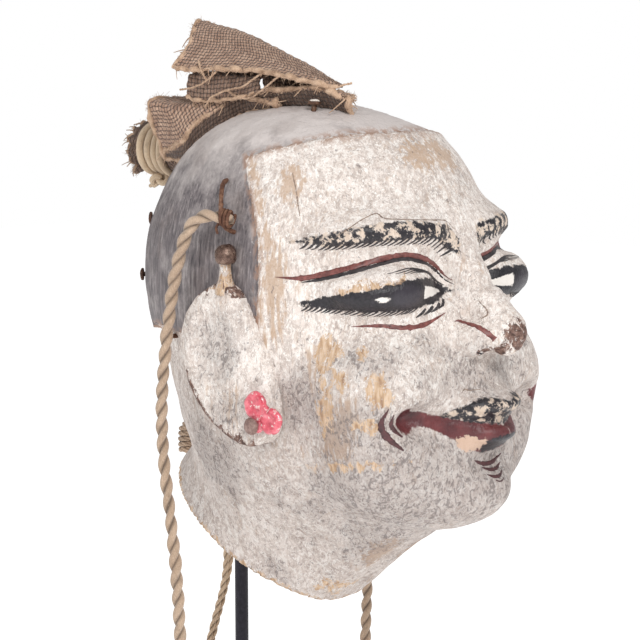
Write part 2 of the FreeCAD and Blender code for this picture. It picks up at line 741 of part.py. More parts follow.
def make_cloths():
    """Three cloth layers as plain closed solids, clear of the crown below them."""
    clear = head_skull("CrownClear", "cloth_gap")
    lower_pad = box_between("LowerPad", "pad_half", "pad_rear", "pad_front", "pad_low", "pad_top")
    lashing_room = stub_cylinder("LashingRoom", "wrap_dia / 2 + lash_wire + 0.4", size("lash_first") - 1.6, "40")
    wrap = stub_cylinder("WrapTube", "wrap_dia / 2", size("wrap_start"), "wrap_long")
    flare = shape_of("Cone", "WrapFlare", Radius1="wrap_dia / 2", Radius2="flare_dia / 2",
                     Height="flare_long")
    flare.Placement = Placement(stub_point(size("flare_start")), Rotation(Vector(0, 0, 1), stub_axis()))
    whole = fuse("LowerWhole", [cut("LowerPadRoom", lower_pad, lashing_room), wrap, flare])
    stub_room = stub_cylinder("StubRoom", "stub_dia / 2 + 0.05", 0.0, "80")
    open_wrap = cut("LowerOpen", whole, stub_room)
    node("cloth_lower", cut("ClothLower", open_wrap, clear))

    middle = box_between("MiddleBox", "sheet_half", "sheet_rear", "sheet_front", "sheet_low", "sheet_top")
    over_lower = box_between("LowerRoom", "pad_half + 1", "pad_rear", "pad_front + 0.3", "pad_low",
                             "pad_top + 0.3")
    node("cloth_middle", cut("ClothMiddle", cut("MiddleClear", middle, over_lower), clear))

    wedge = doc.addObject("Part::Wedge", "UpperWedge")
    # the wedge's own Y is its height and its own Z runs along the head, front to rear
    for prop, text in (("Xmin", "-peak_half"), ("Xmax", "peak_half"), ("Ymin", "0"),
                       ("Ymax", "peak_top - peak_low"), ("Zmin", "-peak_rear"), ("Zmax", "peak_front"),
                       ("X2min", "-2"), ("X2max", "2"), ("Z2min", "-peak_rear - 2"), ("Z2max", "-peak_rear + 4")):
        bind(wedge, prop, text)
    place(wedge, z="peak_low", turn=Rotation(Vector(1, 0, 0), 90))
    node("cloth_upper", wedge)


# ---------------------------------------------------------------- build, test and write
def check_document():
    doc.recompute()
    for obj in doc.Objects:
        if "Invalid" in obj.State or "Error" in obj.State:
            raise ValueError(f"{obj.Name} failed: {obj.State}")
    for name, obj in nodes.items():
        shape = obj.Shape
        if shape.isNull() or not shape.isValid() or not shape.Solids:
            raise ValueError(f"{name} has no good solid")


def main():
    make_base_block()
    make_base_felt()
    make_rod()
    make_rod_fasteners()
    make_liner()
    ears = {side: make_ear(side) for side in SIDES}
    make_head(ears)
    for side in SIDES:
        make_ear_nail(side)
        make_temple_staple(side)
        make_earring(side)
    make_nail_groups()
    make_cords()
    make_nape_fittings()
    make_topknot()
    make_cloths()
    check_document()
    os.makedirs("parts", exist_ok=True)
    for name, obj in nodes.items():
        obj.Shape.exportStep(f"parts/{name}.step")
        box = obj.Shape.BoundBox
        print(f"{name}: {len(obj.Shape.Solids)} solid(s), volume {obj.Shape.Volume:.0f}, "
              f"X {box.XMin:.1f}..{box.XMax:.1f}, Y {box.YMin:.1f}..{box.YMax:.1f}, "
              f"Z {box.ZMin:.1f}..{box.ZMax:.1f}")


main()
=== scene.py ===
"""Looks for the carved puppet head on its turning rod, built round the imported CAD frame.

Sizes in the modelling code are millimetres in the part's own frame (face towards -Y, puppet's right at -X);
mesh_object() turns them into metres. All random draws come from seeded generators.
"""
import math

import bpy
import numpy as np
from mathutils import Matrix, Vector, noise
from mathutils.bvhtree import BVHTree
from mathutils.kdtree import KDTree


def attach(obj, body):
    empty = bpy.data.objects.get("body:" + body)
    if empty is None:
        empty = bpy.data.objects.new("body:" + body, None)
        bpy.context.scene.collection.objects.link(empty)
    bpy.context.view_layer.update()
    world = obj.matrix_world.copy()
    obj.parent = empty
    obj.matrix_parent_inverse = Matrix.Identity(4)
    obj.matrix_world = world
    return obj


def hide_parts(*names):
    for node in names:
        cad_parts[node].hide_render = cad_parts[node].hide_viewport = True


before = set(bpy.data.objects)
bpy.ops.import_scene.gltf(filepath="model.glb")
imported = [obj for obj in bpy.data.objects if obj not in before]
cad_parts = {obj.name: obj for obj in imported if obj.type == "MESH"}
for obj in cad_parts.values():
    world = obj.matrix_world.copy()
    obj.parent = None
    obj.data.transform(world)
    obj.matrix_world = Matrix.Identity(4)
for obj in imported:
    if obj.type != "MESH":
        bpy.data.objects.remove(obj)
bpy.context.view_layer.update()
MM = 0.001


# ================================================================ small maths
def unit(v):
    v = np.asarray(v, float)
    return v / (np.linalg.norm(v, axis=-1, keepdims=True) + 1e-12)


def smoothstep(low, high, x):
    t = np.clip((x - low) / (high - low), 0, 1)
    return t * t * (3 - 2 * t)


def catmull(t, values, where):
    """Smooth curve through values at rising t, read off at each place; works down the first axis of values."""
    t, values, where = np.asarray(t, float), np.asarray(values, float), np.asarray(where, float)
    slope = np.gradient(values, t, axis=0)
    i = np.clip(np.searchsorted(t, where, side="right") - 1, 0, len(t) - 2)
    shape = where.shape + (1,) * (values.ndim - 1)
    step = (t[i + 1] - t[i]).reshape(shape)
    s = (where - t[i]).reshape(shape) / step
    return ((2 * s ** 3 - 3 * s ** 2 + 1) * values[i] + (s ** 3 - 2 * s ** 2 + s) * step * slope[i]
            + (-2 * s ** 3 + 3 * s ** 2) * values[i + 1] + (s ** 3 - s ** 2) * step * slope[i + 1])


def catmull_even(values, where):
    """The same through evenly spaced values, with places from 0 to 1."""
    return catmull(np.linspace(0, 1, len(values)), values, where)


def noise_at(points, scale, seed=0.0, octaves=1):
    """Perlin noise (about -1..1) at points in mm, features about `scale` mm across."""
    shift = Vector((seed * 17.3, seed * 9.1, seed * 5.7))
    values = np.zeros(len(points))
    for octave in range(octaves):
        step = scale / 2 ** octave
        layer = [noise.noise(Vector(p) / step + shift) for p in points]
        values += np.array(layer) / 2 ** octave
    return values


# ================================================================ mesh helpers
def mesh_object(name, points, faces, smooth=True):
    """A mesh object from points in mm."""
    mesh = bpy.data.meshes.new(name)
    mesh.from_pydata((np.asarray(points, float) * MM).tolist(), [], [list(f) for f in faces])
    mesh.validate()
    if smooth:
        mesh.polygons.foreach_set("use_smooth", [True] * len(mesh.polygons))
    mesh.update()
    obj = bpy.data.objects.new(name, mesh)
    bpy.context.scene.collection.objects.link(obj)
    return obj


class Builder:
    """Collects points and faces of several shells for one mesh."""

    def __init__(self):
        self.points = []
        self.faces = []
        self.count = 0

    def add(self, points, faces):
        self.points.append(np.asarray(points, float))
        self.faces.extend([tuple(int(i) + self.count for i in face) for face in faces])
        self.count += len(points)

    def object(self, name, smooth=True):
        return mesh_object(name, np.concatenate(self.points), self.faces, smooth)


def frames_along(path):
    """Tangent, normal and binormal at each point of a path, turned as little as possible."""
    path = np.asarray(path, float)
    tangent = unit(np.gradient(path, axis=0))
    start = np.array([0.0, 0.0, 1.0]) if abs(tangent[0][2]) < 0.9 else np.array([1.0, 0.0, 0.0])
    normal = unit(np.cross(tangent[0], start))
    normals = [normal]
    for t in tangent[1:]:
        normal = unit(normal - t * np.dot(normal, t))
        normals.append(normal)
    normals = np.array(normals)
    return tangent, normals, np.cross(tangent, normals)


def tube(builder, path, radius, sides):
    """A closed tube along a path; radius is a number or one per point."""
    path = np.asarray(path, float)
    count = len(path)
    radius = np.broadcast_to(np.asarray(radius, float), (count,))
    tangent, normal, binormal = frames_along(path)
    angle = np.arange(sides) * 2 * math.pi / sides
    ring = (np.cos(angle)[None, :, None] * normal[:, None, :]
            + np.sin(angle)[None, :, None] * binormal[:, None, :])
    points = (path[:, None, :] + ring * radius[:, None, None]).reshape(-1, 3)
    ends = np.array([path[0] - tangent[0] * radius[0] * 0.5, path[-1] + tangent[-1] * radius[-1] * 0.5])
    points = np.concatenate([points, ends])
    faces = []
    for i in range(count - 1):
        for j in range(sides):
            k = (j + 1) % sides
            faces.append((i * sides + j, i * sides + k, (i + 1) * sides + k, (i + 1) * sides + j))
    first, last = count * sides, count * sides + 1
    for j in range(sides):
        k = (j + 1) % sides
        faces.append((k, j, first))
        faces.append(((count - 1) * sides + j, (count - 1) * sides + k, last))
    builder.add(points, faces)


def cross_axes(axis):
    """Two directions square to an axis and to each other."""
    side = unit(np.cross(axis, (0.31, 0.17, 0.93) if abs(axis[2]) < 0.9 else (1.0, 0.0, 0.0)))
    return side, np.cross(axis, side)


def lengths_along(path):
    """Length of a polyline up to each of its points."""
    gaps = np.linalg.norm(np.diff(path, axis=0), axis=1)
    return np.concatenate([[0], np.cumsum(gaps)])


def resample(path, step):
    """Points every `step` mm along a polyline."""
    path = np.asarray(path, float)
    along = lengths_along(path)
    count = max(3, int(round(along[-1] / step)) + 1)
    where = np.linspace(0, along[-1], count)
    return np.stack([np.interp(where, along, path[:, axis]) for axis in range(3)], -1)


def smooth_route(points, step):
    """The NURBS line of a route (mm), read from a Blender curve and sampled evenly."""
    curve = bpy.data.curves.new("route", "CURVE")
    curve.dimensions = "3D"
    curve.resolution_u = 24
    spline = curve.splines.new("NURBS")
    spline.points.add(len(points) - 1)
    for place, point in zip(spline.points, points):
        place.co = (*[c * MM for c in point], 1.0)
    spline.order_u = 3
    spline.use_endpoint_u = True
    obj = bpy.data.objects.new("route", curve)
    bpy.context.scene.collection.objects.link(obj)
    mesh = bpy.data.meshes.new_from_object(obj)
    line = np.array([v.co for v in mesh.vertices]) / MM
    bpy.data.objects.remove(obj)
    bpy.data.curves.remove(curve)
    bpy.data.meshes.remove(mesh)
    return resample(line, step)


def lay_strands(builder, line, rope_radius, strands, pitch, rng, sides, slack=0.06):
    """Twists strands round a line, with uneven pitch and thickness."""
    _, normal, binormal = frames_along(line)
    along = lengths_along(line)
    strand_radius = rope_radius * {2: 0.62, 3: 0.53}[strands]
    helix_radius = rope_radius - strand_radius
    drift = np.interp(along, np.linspace(0, along[-1], 9), rng.normal(0, 0.35, 9))
    for strand in range(strands):
        angle = 2 * math.pi * (along / pitch + strand / strands) + drift
        swell = 1 + np.interp(along, np.linspace(0, along[-1], 30), rng.normal(0, slack, 30))
        path = line + helix_radius * (np.cos(angle)[:, None] * normal + np.sin(angle)[:, None] * binormal)
        tube(builder, path, strand_radius * swell, sides)


def add_fuzz(builder, line, reach, count, rng, length, radius):
    """Loose fibres that stand off a cord or a cloth edge."""
    tangent, normal, binormal = frames_along(line)
    for index in rng.integers(1, len(line) - 1, count):
        angle = rng.uniform(0, 2 * math.pi)
        out = math.cos(angle) * normal[index] + math.sin(angle) * binormal[index]
        lean = tangent[index] * rng.uniform(-1.2, 1.2)
        start = line[index] + out * reach * 0.8
        bend = unit(rng.normal(0, 1, 3)) * 0.5
        span = length * rng.uniform(0.4, 1.2)
        t = np.linspace(0, 1, 5)[:, None]
        path = start + (out + lean) * t * span * 0.6 + bend * t ** 2 * span * 0.6
        tube(builder, path, radius * (1.1 - 0.6 * t[:, 0]), 3)


# ================================================================ materials
class Nodes:
    """Short names for the shader nodes of one material. Lengths in its textures are mm."""

    def __init__(self, name, roughness=0.7, **sockets):
        self.material = bpy.data.materials.new(name)
        self.material.use_nodes = True
        self.tree = self.material.node_tree
        self.shader = self.tree.nodes["Principled BSDF"]
        self.shader.inputs["Roughness"].default_value = roughness
        for socket, value in sockets.items():
            self.shader.inputs[socket.replace("_", " ")].default_value = value
        coords = self.tree.nodes.new("ShaderNodeTexCoord")
        scale = self.tree.nodes.new("ShaderNodeVectorMath")
        scale.operation = "SCALE"
        scale.inputs["Scale"].default_value = 1 / MM
        self.tree.links.new(coords.outputs["Object"], scale.inputs[0])
        self.place = scale.outputs[0]

    def link(self, value, socket):
        if isinstance(value, bpy.types.NodeSocket):
            self.tree.links.new(value, socket)
        else:
            socket.default_value = value

    def attribute(self, name):
        node = self.tree.nodes.new("ShaderNodeAttribute")
        node.attribute_name = name
        return node.outputs["Fac"]

    def stretched(self, x=1.0, y=1.0, z=1.0, turn=(0, 0, 0)):
        node = self.tree.nodes.new("ShaderNodeMapping")
        node.inputs["Scale"].default_value = (x, y, z)
        node.inputs["Rotation"].default_value = turn
        self.tree.links.new(self.place, node.inputs["Vector"])
        return node.outputs[0]

    def noise(self, scale, detail=4.0, rough=0.55, place=None, distortion=0.0):
        """Noise with features about `scale` mm across."""
        node = self.tree.nodes.new("ShaderNodeTexNoise")
        node.inputs["Scale"].default_value = 1 / scale
        node.inputs["Detail"].default_value = detail
        node.inputs["Roughness"].default_value = rough
        node.inputs["Distortion"].default_value = distortion
        self.link(place or self.place, node.inputs["Vector"])
        return node.outputs["Fac"]

    def cells(self, scale, place):
        """Distance to the borders of cells about `scale` mm across."""
        node = self.tree.nodes.new("ShaderNodeTexVoronoi")
        node.feature = "DISTANCE_TO_EDGE"
        node.inputs["Scale"].default_value = 1 / scale
        self.link(place, node.inputs["Vector"])
        return node.outputs["Distance"]

    def math(self, operation, a, b=0.0, c=0.0):
        node = self.tree.nodes.new("ShaderNodeMath")
        node.operation = operation
        for value, socket in zip((a, b, c), node.inputs):
            self.link(value, socket)
        return node.outputs[0]

    def times(self, a, b):
        return self.math("MULTIPLY", a, b)

    def remap(self, value, low, high, new_low=0.0, new_high=1.0):
        node = self.tree.nodes.new("ShaderNodeMapRange")
        for key, number in zip(("From Min", "From Max", "To Min", "To Max"), (low, high, new_low, new_high)):
            node.inputs[key].default_value = number
        self.link(value, node.inputs["Value"])
        return node.outputs[0]

    def ramp(self, value, stops):
        node = self.tree.nodes.new("ShaderNodeValToRGB")
        ramp = node.color_ramp
        while len(ramp.elements) < len(stops):
            ramp.elements.new(0.5)
        for element, (position, color) in zip(ramp.elements, stops):
            element.position = position
            element.color = (*color, 1.0)
        self.link(value, node.inputs["Fac"])
        return node.outputs["Color"]

    def mix(self, factor, a, b, blend="MIX"):
        node = self.tree.nodes.new("ShaderNodeMix")
        node.data_type = "RGBA"
        node.blend_type = blend
        self.link(factor, node.inputs[0])
        for value, socket in ((a, node.inputs[6]), (b, node.inputs[7])):
            self.link((*value, 1.0) if isinstance(value, tuple) and len(value) == 3 else value, socket)
        return node.outputs[2]

    def color(self, value):
        self.link((*value, 1.0) if isinstance(value, tuple) else value, self.shader.inputs["Base Color"])

    def rough(self, value):
        self.link(value, self.shader.inputs["Roughness"])

    def bump(self, height, distance, strength=1.0):
        node = self.tree.nodes.new("ShaderNodeBump")
        node.inputs["Strength"].default_value = strength
        node.inputs["Distance"].default_value = distance * MM
        self.link(height, node.inputs["Height"])
        previous = self.shader.inputs["Normal"].links
        if previous:
            self.tree.links.new(previous[0].from_socket, node.inputs["Normal"])
        self.tree.links.new(node.outputs[0], self.shader.inputs["Normal"])


def letter(side):
    """The puppet's right is at -X."""
    return "R" if side < 0 else "L"


def set_attributes(obj, masks):
    for name, values in masks.items():
        attribute = obj.data.attributes.new(name, "FLOAT", "POINT")
        attribute.data.foreach_set("value", np.ascontiguousarray(values, np.float32))


def mark_plain(obj):
    set_attributes(obj, {"hollow": np.zeros(len(obj.data.vertices))})


def paint(obj, material):
    obj.data.materials.clear()
    obj.data.materials.append(material)


def finish_piece(obj, body, material, replaces=()):
    paint(obj, material)
    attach(obj, body)
    if replaces:
        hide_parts(*replaces)


# ================================================================ camera and light
VIEW_AZIMUTH = -51.0
VIEW_ELEVATION = 8.0
VIEW_DISTANCE = 0.620
VIEW_TARGET = Vector((0.0, -0.044, 0.262))
LENS = 102.57
LENS_SHIFT = (-0.025, 0.0328)
LIGHT_TARGET = Vector((0.0, -0.04, 0.27))
FLOOR_HALF = 3000              # mm
FLOOR_GLOW = 0.62
AMBIENT = 0.50                 # studio light from all round; the backdrop itself is white


def make_camera():
    azimuth = math.radians(VIEW_AZIMUTH)
    elevation = math.radians(VIEW_ELEVATION)
    back = Vector((math.sin(azimuth) * math.cos(elevation), -math.cos(azimuth) * math.cos(elevation),
                   math.sin(elevation)))
    data = bpy.data.cameras.new("camera")
    data.lens = LENS
    data.shift_x, data.shift_y = LENS_SHIFT
    data.clip_end = 50.0
    camera = bpy.data.objects.new("camera", data)
    bpy.context.scene.collection.objects.link(camera)
    camera.location = VIEW_TARGET + back * VIEW_DISTANCE
    camera.rotation_euler = back.to_track_quat("Z", "Y").to_euler()
    bpy.context.scene.camera = camera


def add_light(name, location, size, power):
    data = bpy.data.lights.new(name, "AREA")
    data.shape = "DISK"
    data.size = size
    data.energy = power
    light = bpy.data.objects.new(name, data)
    light.location = location
    light.rotation_euler = (Vector(location) - LIGHT_TARGET).to_track_quat("Z", "Y").to_euler()
    bpy.context.scene.collection.objects.link(light)


def make_stage():
    world = bpy.data.worlds.new("studio")
    world.use_nodes = True
    background = world.node_tree.nodes["Background"]
    background.inputs["Color"].default_value = (1.0, 1.0, 1.0, 1.0)
    rays = world.node_tree.nodes.new("ShaderNodeLightPath")
    strength = world.node_tree.nodes.new("ShaderNodeMapRange")
    strength.inputs["To Min"].default_value = AMBIENT
    strength.inputs["To Max"].default_value = 1.0
    world.node_tree.links.new(rays.outputs["Is Camera Ray"], strength.inputs["Value"])
    world.node_tree.links.new(strength.outputs[0], background.inputs["Strength"])
    bpy.context.scene.world = world
    bpy.context.scene.view_settings.view_transform = "Standard"
    corners = [(x * FLOOR_HALF, y * FLOOR_HALF, 0) for x, y in ((-1, -1), (1, -1), (1, 1), (-1, 1))]
    floor = mesh_object("floor", corners, [(0, 1, 2, 3)], smooth=False)
    look = Nodes("floor_white", roughness=0.9)
    look.color(look.mix(look.noise(400.0), (0.86, 0.86, 0.86), (0.90, 0.90, 0.90)))
    look.shader.inputs["Emission Color"].default_value = (1.0, 1.0, 1.0, 1.0)
    look.shader.inputs["Emission Strength"].default_value = FLOOR_GLOW
    paint(floor, look.material)
    add_light("key", (-0.62, -1.05, 1.15), 0.5, 12.0)
    add_light("side", (-1.3, 0.3, 0.7), 0.7, 3.0)


# ================================================================ carved head: distance field
# height: half width, reach in front of and behind the head's axis, before the ends are rounded off
SKULL_LEVELS = [
    (200, 46.0, 70.0, 35.0), (208, 47.0, 70.0, 36.0), (218, 48.5, 70.0, 39.5), (235, 50.5, 69.5, 51.0),
    (255, 52.5, 66.5, 58.5), (275, 54.5, 62.5, 67.0), (295, 54.7, 59.0, 68.5), (315, 54.3, 56.5, 65.5),
    (330, 55.0, 54.0, 63.5), (344, 55.5, 50.5, 60.5),
]
HEAD_Y = -40.0                  # the head's own upright axis
HEAD_MIDDLE = 272.0             # height where it is widest
NECK_FOOT = (0.0, -15.0, 195.6)
NECK_SLOPE = math.radians(32.9)
CROWN_LEAN, CROWN_HEADING = math.radians(18.0), math.radians(-25.3)      # flat on the far side of the crown
CROWN_REACH = 330.8             # its distance from the origin
GRID_LOW = (-1.5, -126.0, 161.0)
GRID_HIGH = (60.0, 33.0, 347.0)
GRID_STEP = 1.1


def smooth_levels(z, column):
    """Smooth curve through one column of SKULL_LEVELS."""
    levels = np.array(SKULL_LEVELS, float)
    return catmull(levels[:, 0], levels[:, column], np.clip(z, levels[0, 0], levels[-1, 0]))


def join(a, b, k):
    """Smooth union of two distances."""
    mix = np.clip(0.5 + 0.5 * (b - a) / k, 0, 1)
    return b + (a - b) * mix - k * mix * (1 - mix)


def carve(a, b, k):
    """Smooth cut of b out of a."""
    return -join(-a, b, k)


def ellipsoid(p, centre, radii, yaw=0.0):
    q = p - np.array(centre)
    if yaw:
        c, s = math.cos(math.radians(yaw)), math.sin(math.radians(yaw))
        q = np.stack([c * q[..., 0] + s * q[..., 1], -s * q[..., 0] + c * q[..., 1], q[..., 2]], -1)
    radii = np.array(radii)
    k0 = np.linalg.norm(q / radii, axis=-1)
    k1 = np.linalg.norm(q / radii ** 2, axis=-1) + 1e-9
    return k0 * (k0 - 1) / k1


def capsule(p, a, b, ra, rb):
    a, b = np.array(a, float), np.array(b, float)
    ab = b - a
    t = np.clip(((p - a) @ ab) / (ab @ ab), 0, 1)
    return np.linalg.norm(p - a - t[..., None] * ab, axis=-1) - (ra + (rb - ra) * t)


def skull(p):
    x, y, z = p[..., 0], p[..., 1], p[..., 2]
    half = smooth_levels(z, 1)
    reach = np.where(y < HEAD_Y, smooth_levels(z, 2), smooth_levels(z, 3))
    rise = (z - HEAD_MIDDLE) / np.where(z > HEAD_MIDDLE, 70.4, 69.5)
    flat = (x / half) ** 2 + ((y - HEAD_Y) / reach) ** 2
    power = np.where(z > HEAD_MIDDLE, 2.8, 3.2)
    return ((flat ** (power / 2) + np.abs(rise) ** power) ** (1 / power) - 1) * 52.0


def above_foot(p):
    """Height over the neck's slanting foot."""
    return (p - np.array(NECK_FOOT)) @ np.array([0, -math.sin(NECK_SLOPE), math.cos(NECK_SLOPE)])


def neck(p):
    """Slanted oval neck, cut square at its foot."""
    side = np.array([0, math.cos(NECK_SLOPE), math.sin(NECK_SLOPE)])
    q = p - np.array(NECK_FOOT)
    up = above_foot(p)
    t = np.clip(up / 60.0, -0.1, 1.2)
    flare = 0.8 * np.exp(-np.clip(up, 0, None) / 7.0)
    long = 39.6 - 4.0 * t + flare
    wide = 31.5 - 2.0 * t + flare
    radial = (np.sqrt((q[..., 0] / wide) ** 2 + ((q @ side) / long) ** 2) - 1) * 33.0
    return np.maximum(radial, up - 66.0)


def head_distance(p):
    """Distance to the carved head in mm, negative inside. Both sides are alike."""
    m = p.copy()
    m[..., 0] = np.sqrt(m[..., 0] ** 2 + 0.25)
    d = skull(m)
    d = join(d, ellipsoid(m, (0, -90.0, 218.2), (18, 21, 11.4)), 14)              # chin
    d = join(d, neck(m), 19)
    d = join(d, capsule(m, (8, -68.0, 209.3), (8, -46.0, 190.9), 13.0, 13.0), 9)  # throat
    d = join(d, ellipsoid(m, (30, -85.0, 252.0), (18, 18.0, 19), yaw=20), 12)   # cheek
    d = join(d, ellipsoid(m, (24.5, -84.5, 230.5), (18, 16.0, 17)), 12)          # jaw
    d = join(d, ellipsoid(m, (0, -91.5, 243.0), (17, 18, 15)), 9)               # muzzle
    d = join(d, ellipsoid(m, (28, -84.0, 303.0), (19, 8, 5), yaw=32), 8)        # brow ridge
    d = carve(d, ellipsoid(m, (11.0, -99.5, 290.0), (7.0, 6.0, 8.0)), 5)        # hollow beside the nose root
    d = join(d, capsule(m, (0, -88.0, 304.0), (0, -97.5, 288.0), 4.6, 5.0), 7)  # nose
    d = join(d, capsule(m, (0, -97.5, 288.0), (0, -107.5, 277.5), 5.0, 6.2), 5)
    d = join(d, ellipsoid(m, (0, -111.6, 270.9), (7.2, 8.6, 7.8)), 4)
    d = join(d, ellipsoid(m, (7.8, -105.0, 268.8), (5.0, 7.4, 5.6)), 3)         # nostril wing
    d = carve(d, ellipsoid(m, (4.0, -110.0, 261.9), (2.4, 3.8, 3.0)), 1.5)
    d = carve(d, capsule(m, (0, -111.5, 260.0), (0, -110.5, 254.5), 1.3, 1.8), 4)   # groove over the lip
    d = join(d, ellipsoid(m, (0, -104.4, 248.0), (13.5, 11.2, 4.0)), 3)          # lips
    d = join(d, ellipsoid(m, (0, -104.2, 238.6), (11, 11.0, 4.8)), 3)
    d = carve(d, ellipsoid(m, (23.0, -108.5, 243.0), (7, 7.0, 8)), 6)           # hollow beside the lips
    d = carve(d, ellipsoid(m, (32.5, -102.0, 245.5), (6, 6.0, 4)), 5)           # dimple at the mouth's corner
    d = carve(d, ellipsoid(m, (0, -112.5, 229.5), (13, 5.5, 3.4)), 5)           # hollow over the chin
    d = join(d, ellipsoid(m, (30.5, -84.5, 285.0), (17, 14, 9.0), yaw=38), 4)   # eye
    bore = np.where(m[..., 2] < 286.0, 3.7 - np.hypot(p[..., 0], p[..., 1]), -10.0)
    return np.maximum(np.maximum(d, -above_foot(m)), bore)


# ================================================================ distance field to mesh
def surface_net(distance, low, high, step):
    """Quads of the zero surface of a distance function, one point per crossed cell, moved onto the surface."""
    axes = [np.arange(a, b + step, step) for a, b in zip(low, high)]
    shape = tuple(len(axis) for axis in axes)
    values = np.empty(shape)
    for i, x in enumerate(axes[0]):
        y, z = np.meshgrid(axes[1], axes[2], indexing="ij")
        values[i] = distance(np.stack([np.full_like(y, x), y, z], -1))
    inside = values < 0
    cells = tuple(n - 1 for n in shape)
    corners = sum(inside[i:cells[0] + i, j:cells[1] + j, k:cells[2] + k].astype(np.int8)
                  for i in (0, 1) for j in (0, 1) for k in (0, 1))
    crossed = (corners > 0) & (corners < 8)
    index = np.full(cells, -1)
    index[crossed] = np.arange(np.count_nonzero(crossed))
    cell = np.argwhere(crossed)
    points = np.array(low) + (cell + 0.5) * step
    quads = []
    for axis in range(3):
        a = [slice(1, -1)] * 3
        b = [slice(1, -1)] * 3
        a[axis], b[axis] = slice(0, -1), slice(1, None)
        first, second = inside[tuple(a)], inside[tuple(b)]
        change = np.argwhere(first != second)
        flip = second[tuple(change.T)]
        place = change + 1
        place[:, axis] -= 1
        u, v = [k for k in range(3) if k != axis]
        ring = []
        for du, dv in ((-1, -1), (0, -1), (0, 0), (-1, 0)):
            q = place.copy()
            q[:, u] += du
            q[:, v] += dv
            ring.append(index[tuple(q.T)])
        ring = np.stack(ring, -1)
        if axis == 1:
            flip = ~flip
        ring[flip] = ring[flip][:, ::-1]
        quads.append(ring)
    for _ in range(5):
        d, normal = gradient(distance, points)
        move = -np.clip(d, -step, step)[:, None] * normal
        points = points + move
    return points, np.concatenate(quads)


def gradient(distance, points, reach=0.25):
    """Distance over its slope, and the outward normal."""
    d = distance(points)
    slope = np.stack([distance(points + np.eye(3)[axis] * reach) - distance(points - np.eye(3)[axis] * reach)
                      for axis in range(3)], -1) / (2 * reach)
    length = np.linalg.norm(slope, axis=-1)
    return d / np.maximum(length, 0.2), slope / (length[:, None] + 1e-9)


def mirrored(points, quads):
    """Both halves of a shape made for x >= 0: cells on the middle plane are shared."""
    points = points.copy()
    middle = points[:, 0] < GRID_STEP * 0.45
    points[middle, 0] = 0.0
    keep = np.ones(len(quads), bool)
    keep[np.all(middle[quads], axis=1)] = False
    quads = quads[keep]
    other = np.arange(len(points)) + len(points)
    other[middle] = np.flatnonzero(middle)
    both = np.concatenate([points, points * (-1, 1, 1)])
    return both, np.concatenate([quads, other[quads][:, ::-1]])


# ================================================================ painted features
# Places on the head are (turn, height): degrees round the head's axis from straight ahead, and mm.
# Near the face a degree is about a millimetre.
def turn_of(points):
    return np.degrees(np.arctan2(np.abs(points[:, 0]), HEAD_Y - points[:, 1]))


def curve(turn, stations):
    """Height at each turn of the smooth line through a few (turn, height) stations, level beyond its ends."""
    stations = np.array(stations, float)
    return catmull(stations[:, 0], stations[:, 1], np.clip(turn, stations[0, 0], stations[-1, 0]))


def band(turn, z, top, bottom):
    """Distance inside the strip between two lines, positive inside."""
    low, high = top[0][0], top[-1][0]
    inside = np.minimum(curve(turn, top) - z, z - curve(turn, bottom))
    return np.minimum(inside, np.minimum(turn - low, high - turn))


def patch(turn, z, centre, radii, lean=0.0):
    """Distance inside an oval."""
    a = math.radians(lean)
    u, v = turn - centre[0], z - centre[1]
    across, up = u * math.cos(a) + v * math.sin(a), -u * math.sin(a) + v * math.cos(a)
    return (1 - np.sqrt((across / radii[0]) ** 2 + (up / radii[1]) ** 2)) * min(radii)


BROW_TOP = ((5, 299.5), (7, 303), (14, 305), (22, 306), (34, 306), (46, 304), (63, 300))
BROW_BOTTOM = ((5, 295), (14, 300), (28, 301), (50, 299.5), (63, 300))
EYE_TOP = ((7.5, 284), (16, 288), (25, 289), (44, 285.5), (61, 281))
EYE_BOTTOM = ((7.5, 284), (14, 281.5), (26, 279.5), (44, 279.5), (61, 280.5))
LID = ((7, 286.5), (12, 291.2), (22, 295), (30, 295.2), (50, 290.2), (60, 288.4), (67.5, 288.6))      # crease over the eye
LIP_LINE = ((0, 242), (11, 243.5), (20, 246), (28, 247.5), (32.5, 246))
LIP_TOP = ((0, 249), (6, 250.7), (12, 248.5), (19, 244.5))
LIP_BOTTOM = ((0, 232), (5, 232.5), (14, 238), (25, 243), (29, 242.5), (32.5, 244))
HAIR_FRONT, HAIR_DROP, HAIR_CORNER = 333.4, 8.0, 87.0     # height in front, drop to the corner, its turn
SIDE_EDGE, SIDE_HEIGHT = 73.8, 290.0                      # furthest forward the side edge comes, and where
OFF = -20.0                                               # far outside any painted area


def hair_line(turn):
    """Height of the front hairline: level in front, dropping to the corner."""
    return HAIR_FRONT - HAIR_DROP * (np.minimum(turn, HAIR_CORNER) / HAIR_CORNER) ** 3


def hair_side(z):
    """Turn of the hair's upright edge: a bow that runs back quickly above and slowly below."""
    z = np.clip(z, 262, 334)
    return SIDE_EDGE + np.where(z > SIDE_HEIGHT, 0.0105, 0.0028) * (z - SIDE_HEIGHT) ** 2


def unpainted(count):
    """Masks of a piece with neither hair nor painted features."""
    names = "hair", "ink", "red", "eyewhite", "iris", "brow", "lipchip"
    return {name: np.full(count, OFF) for name in names}


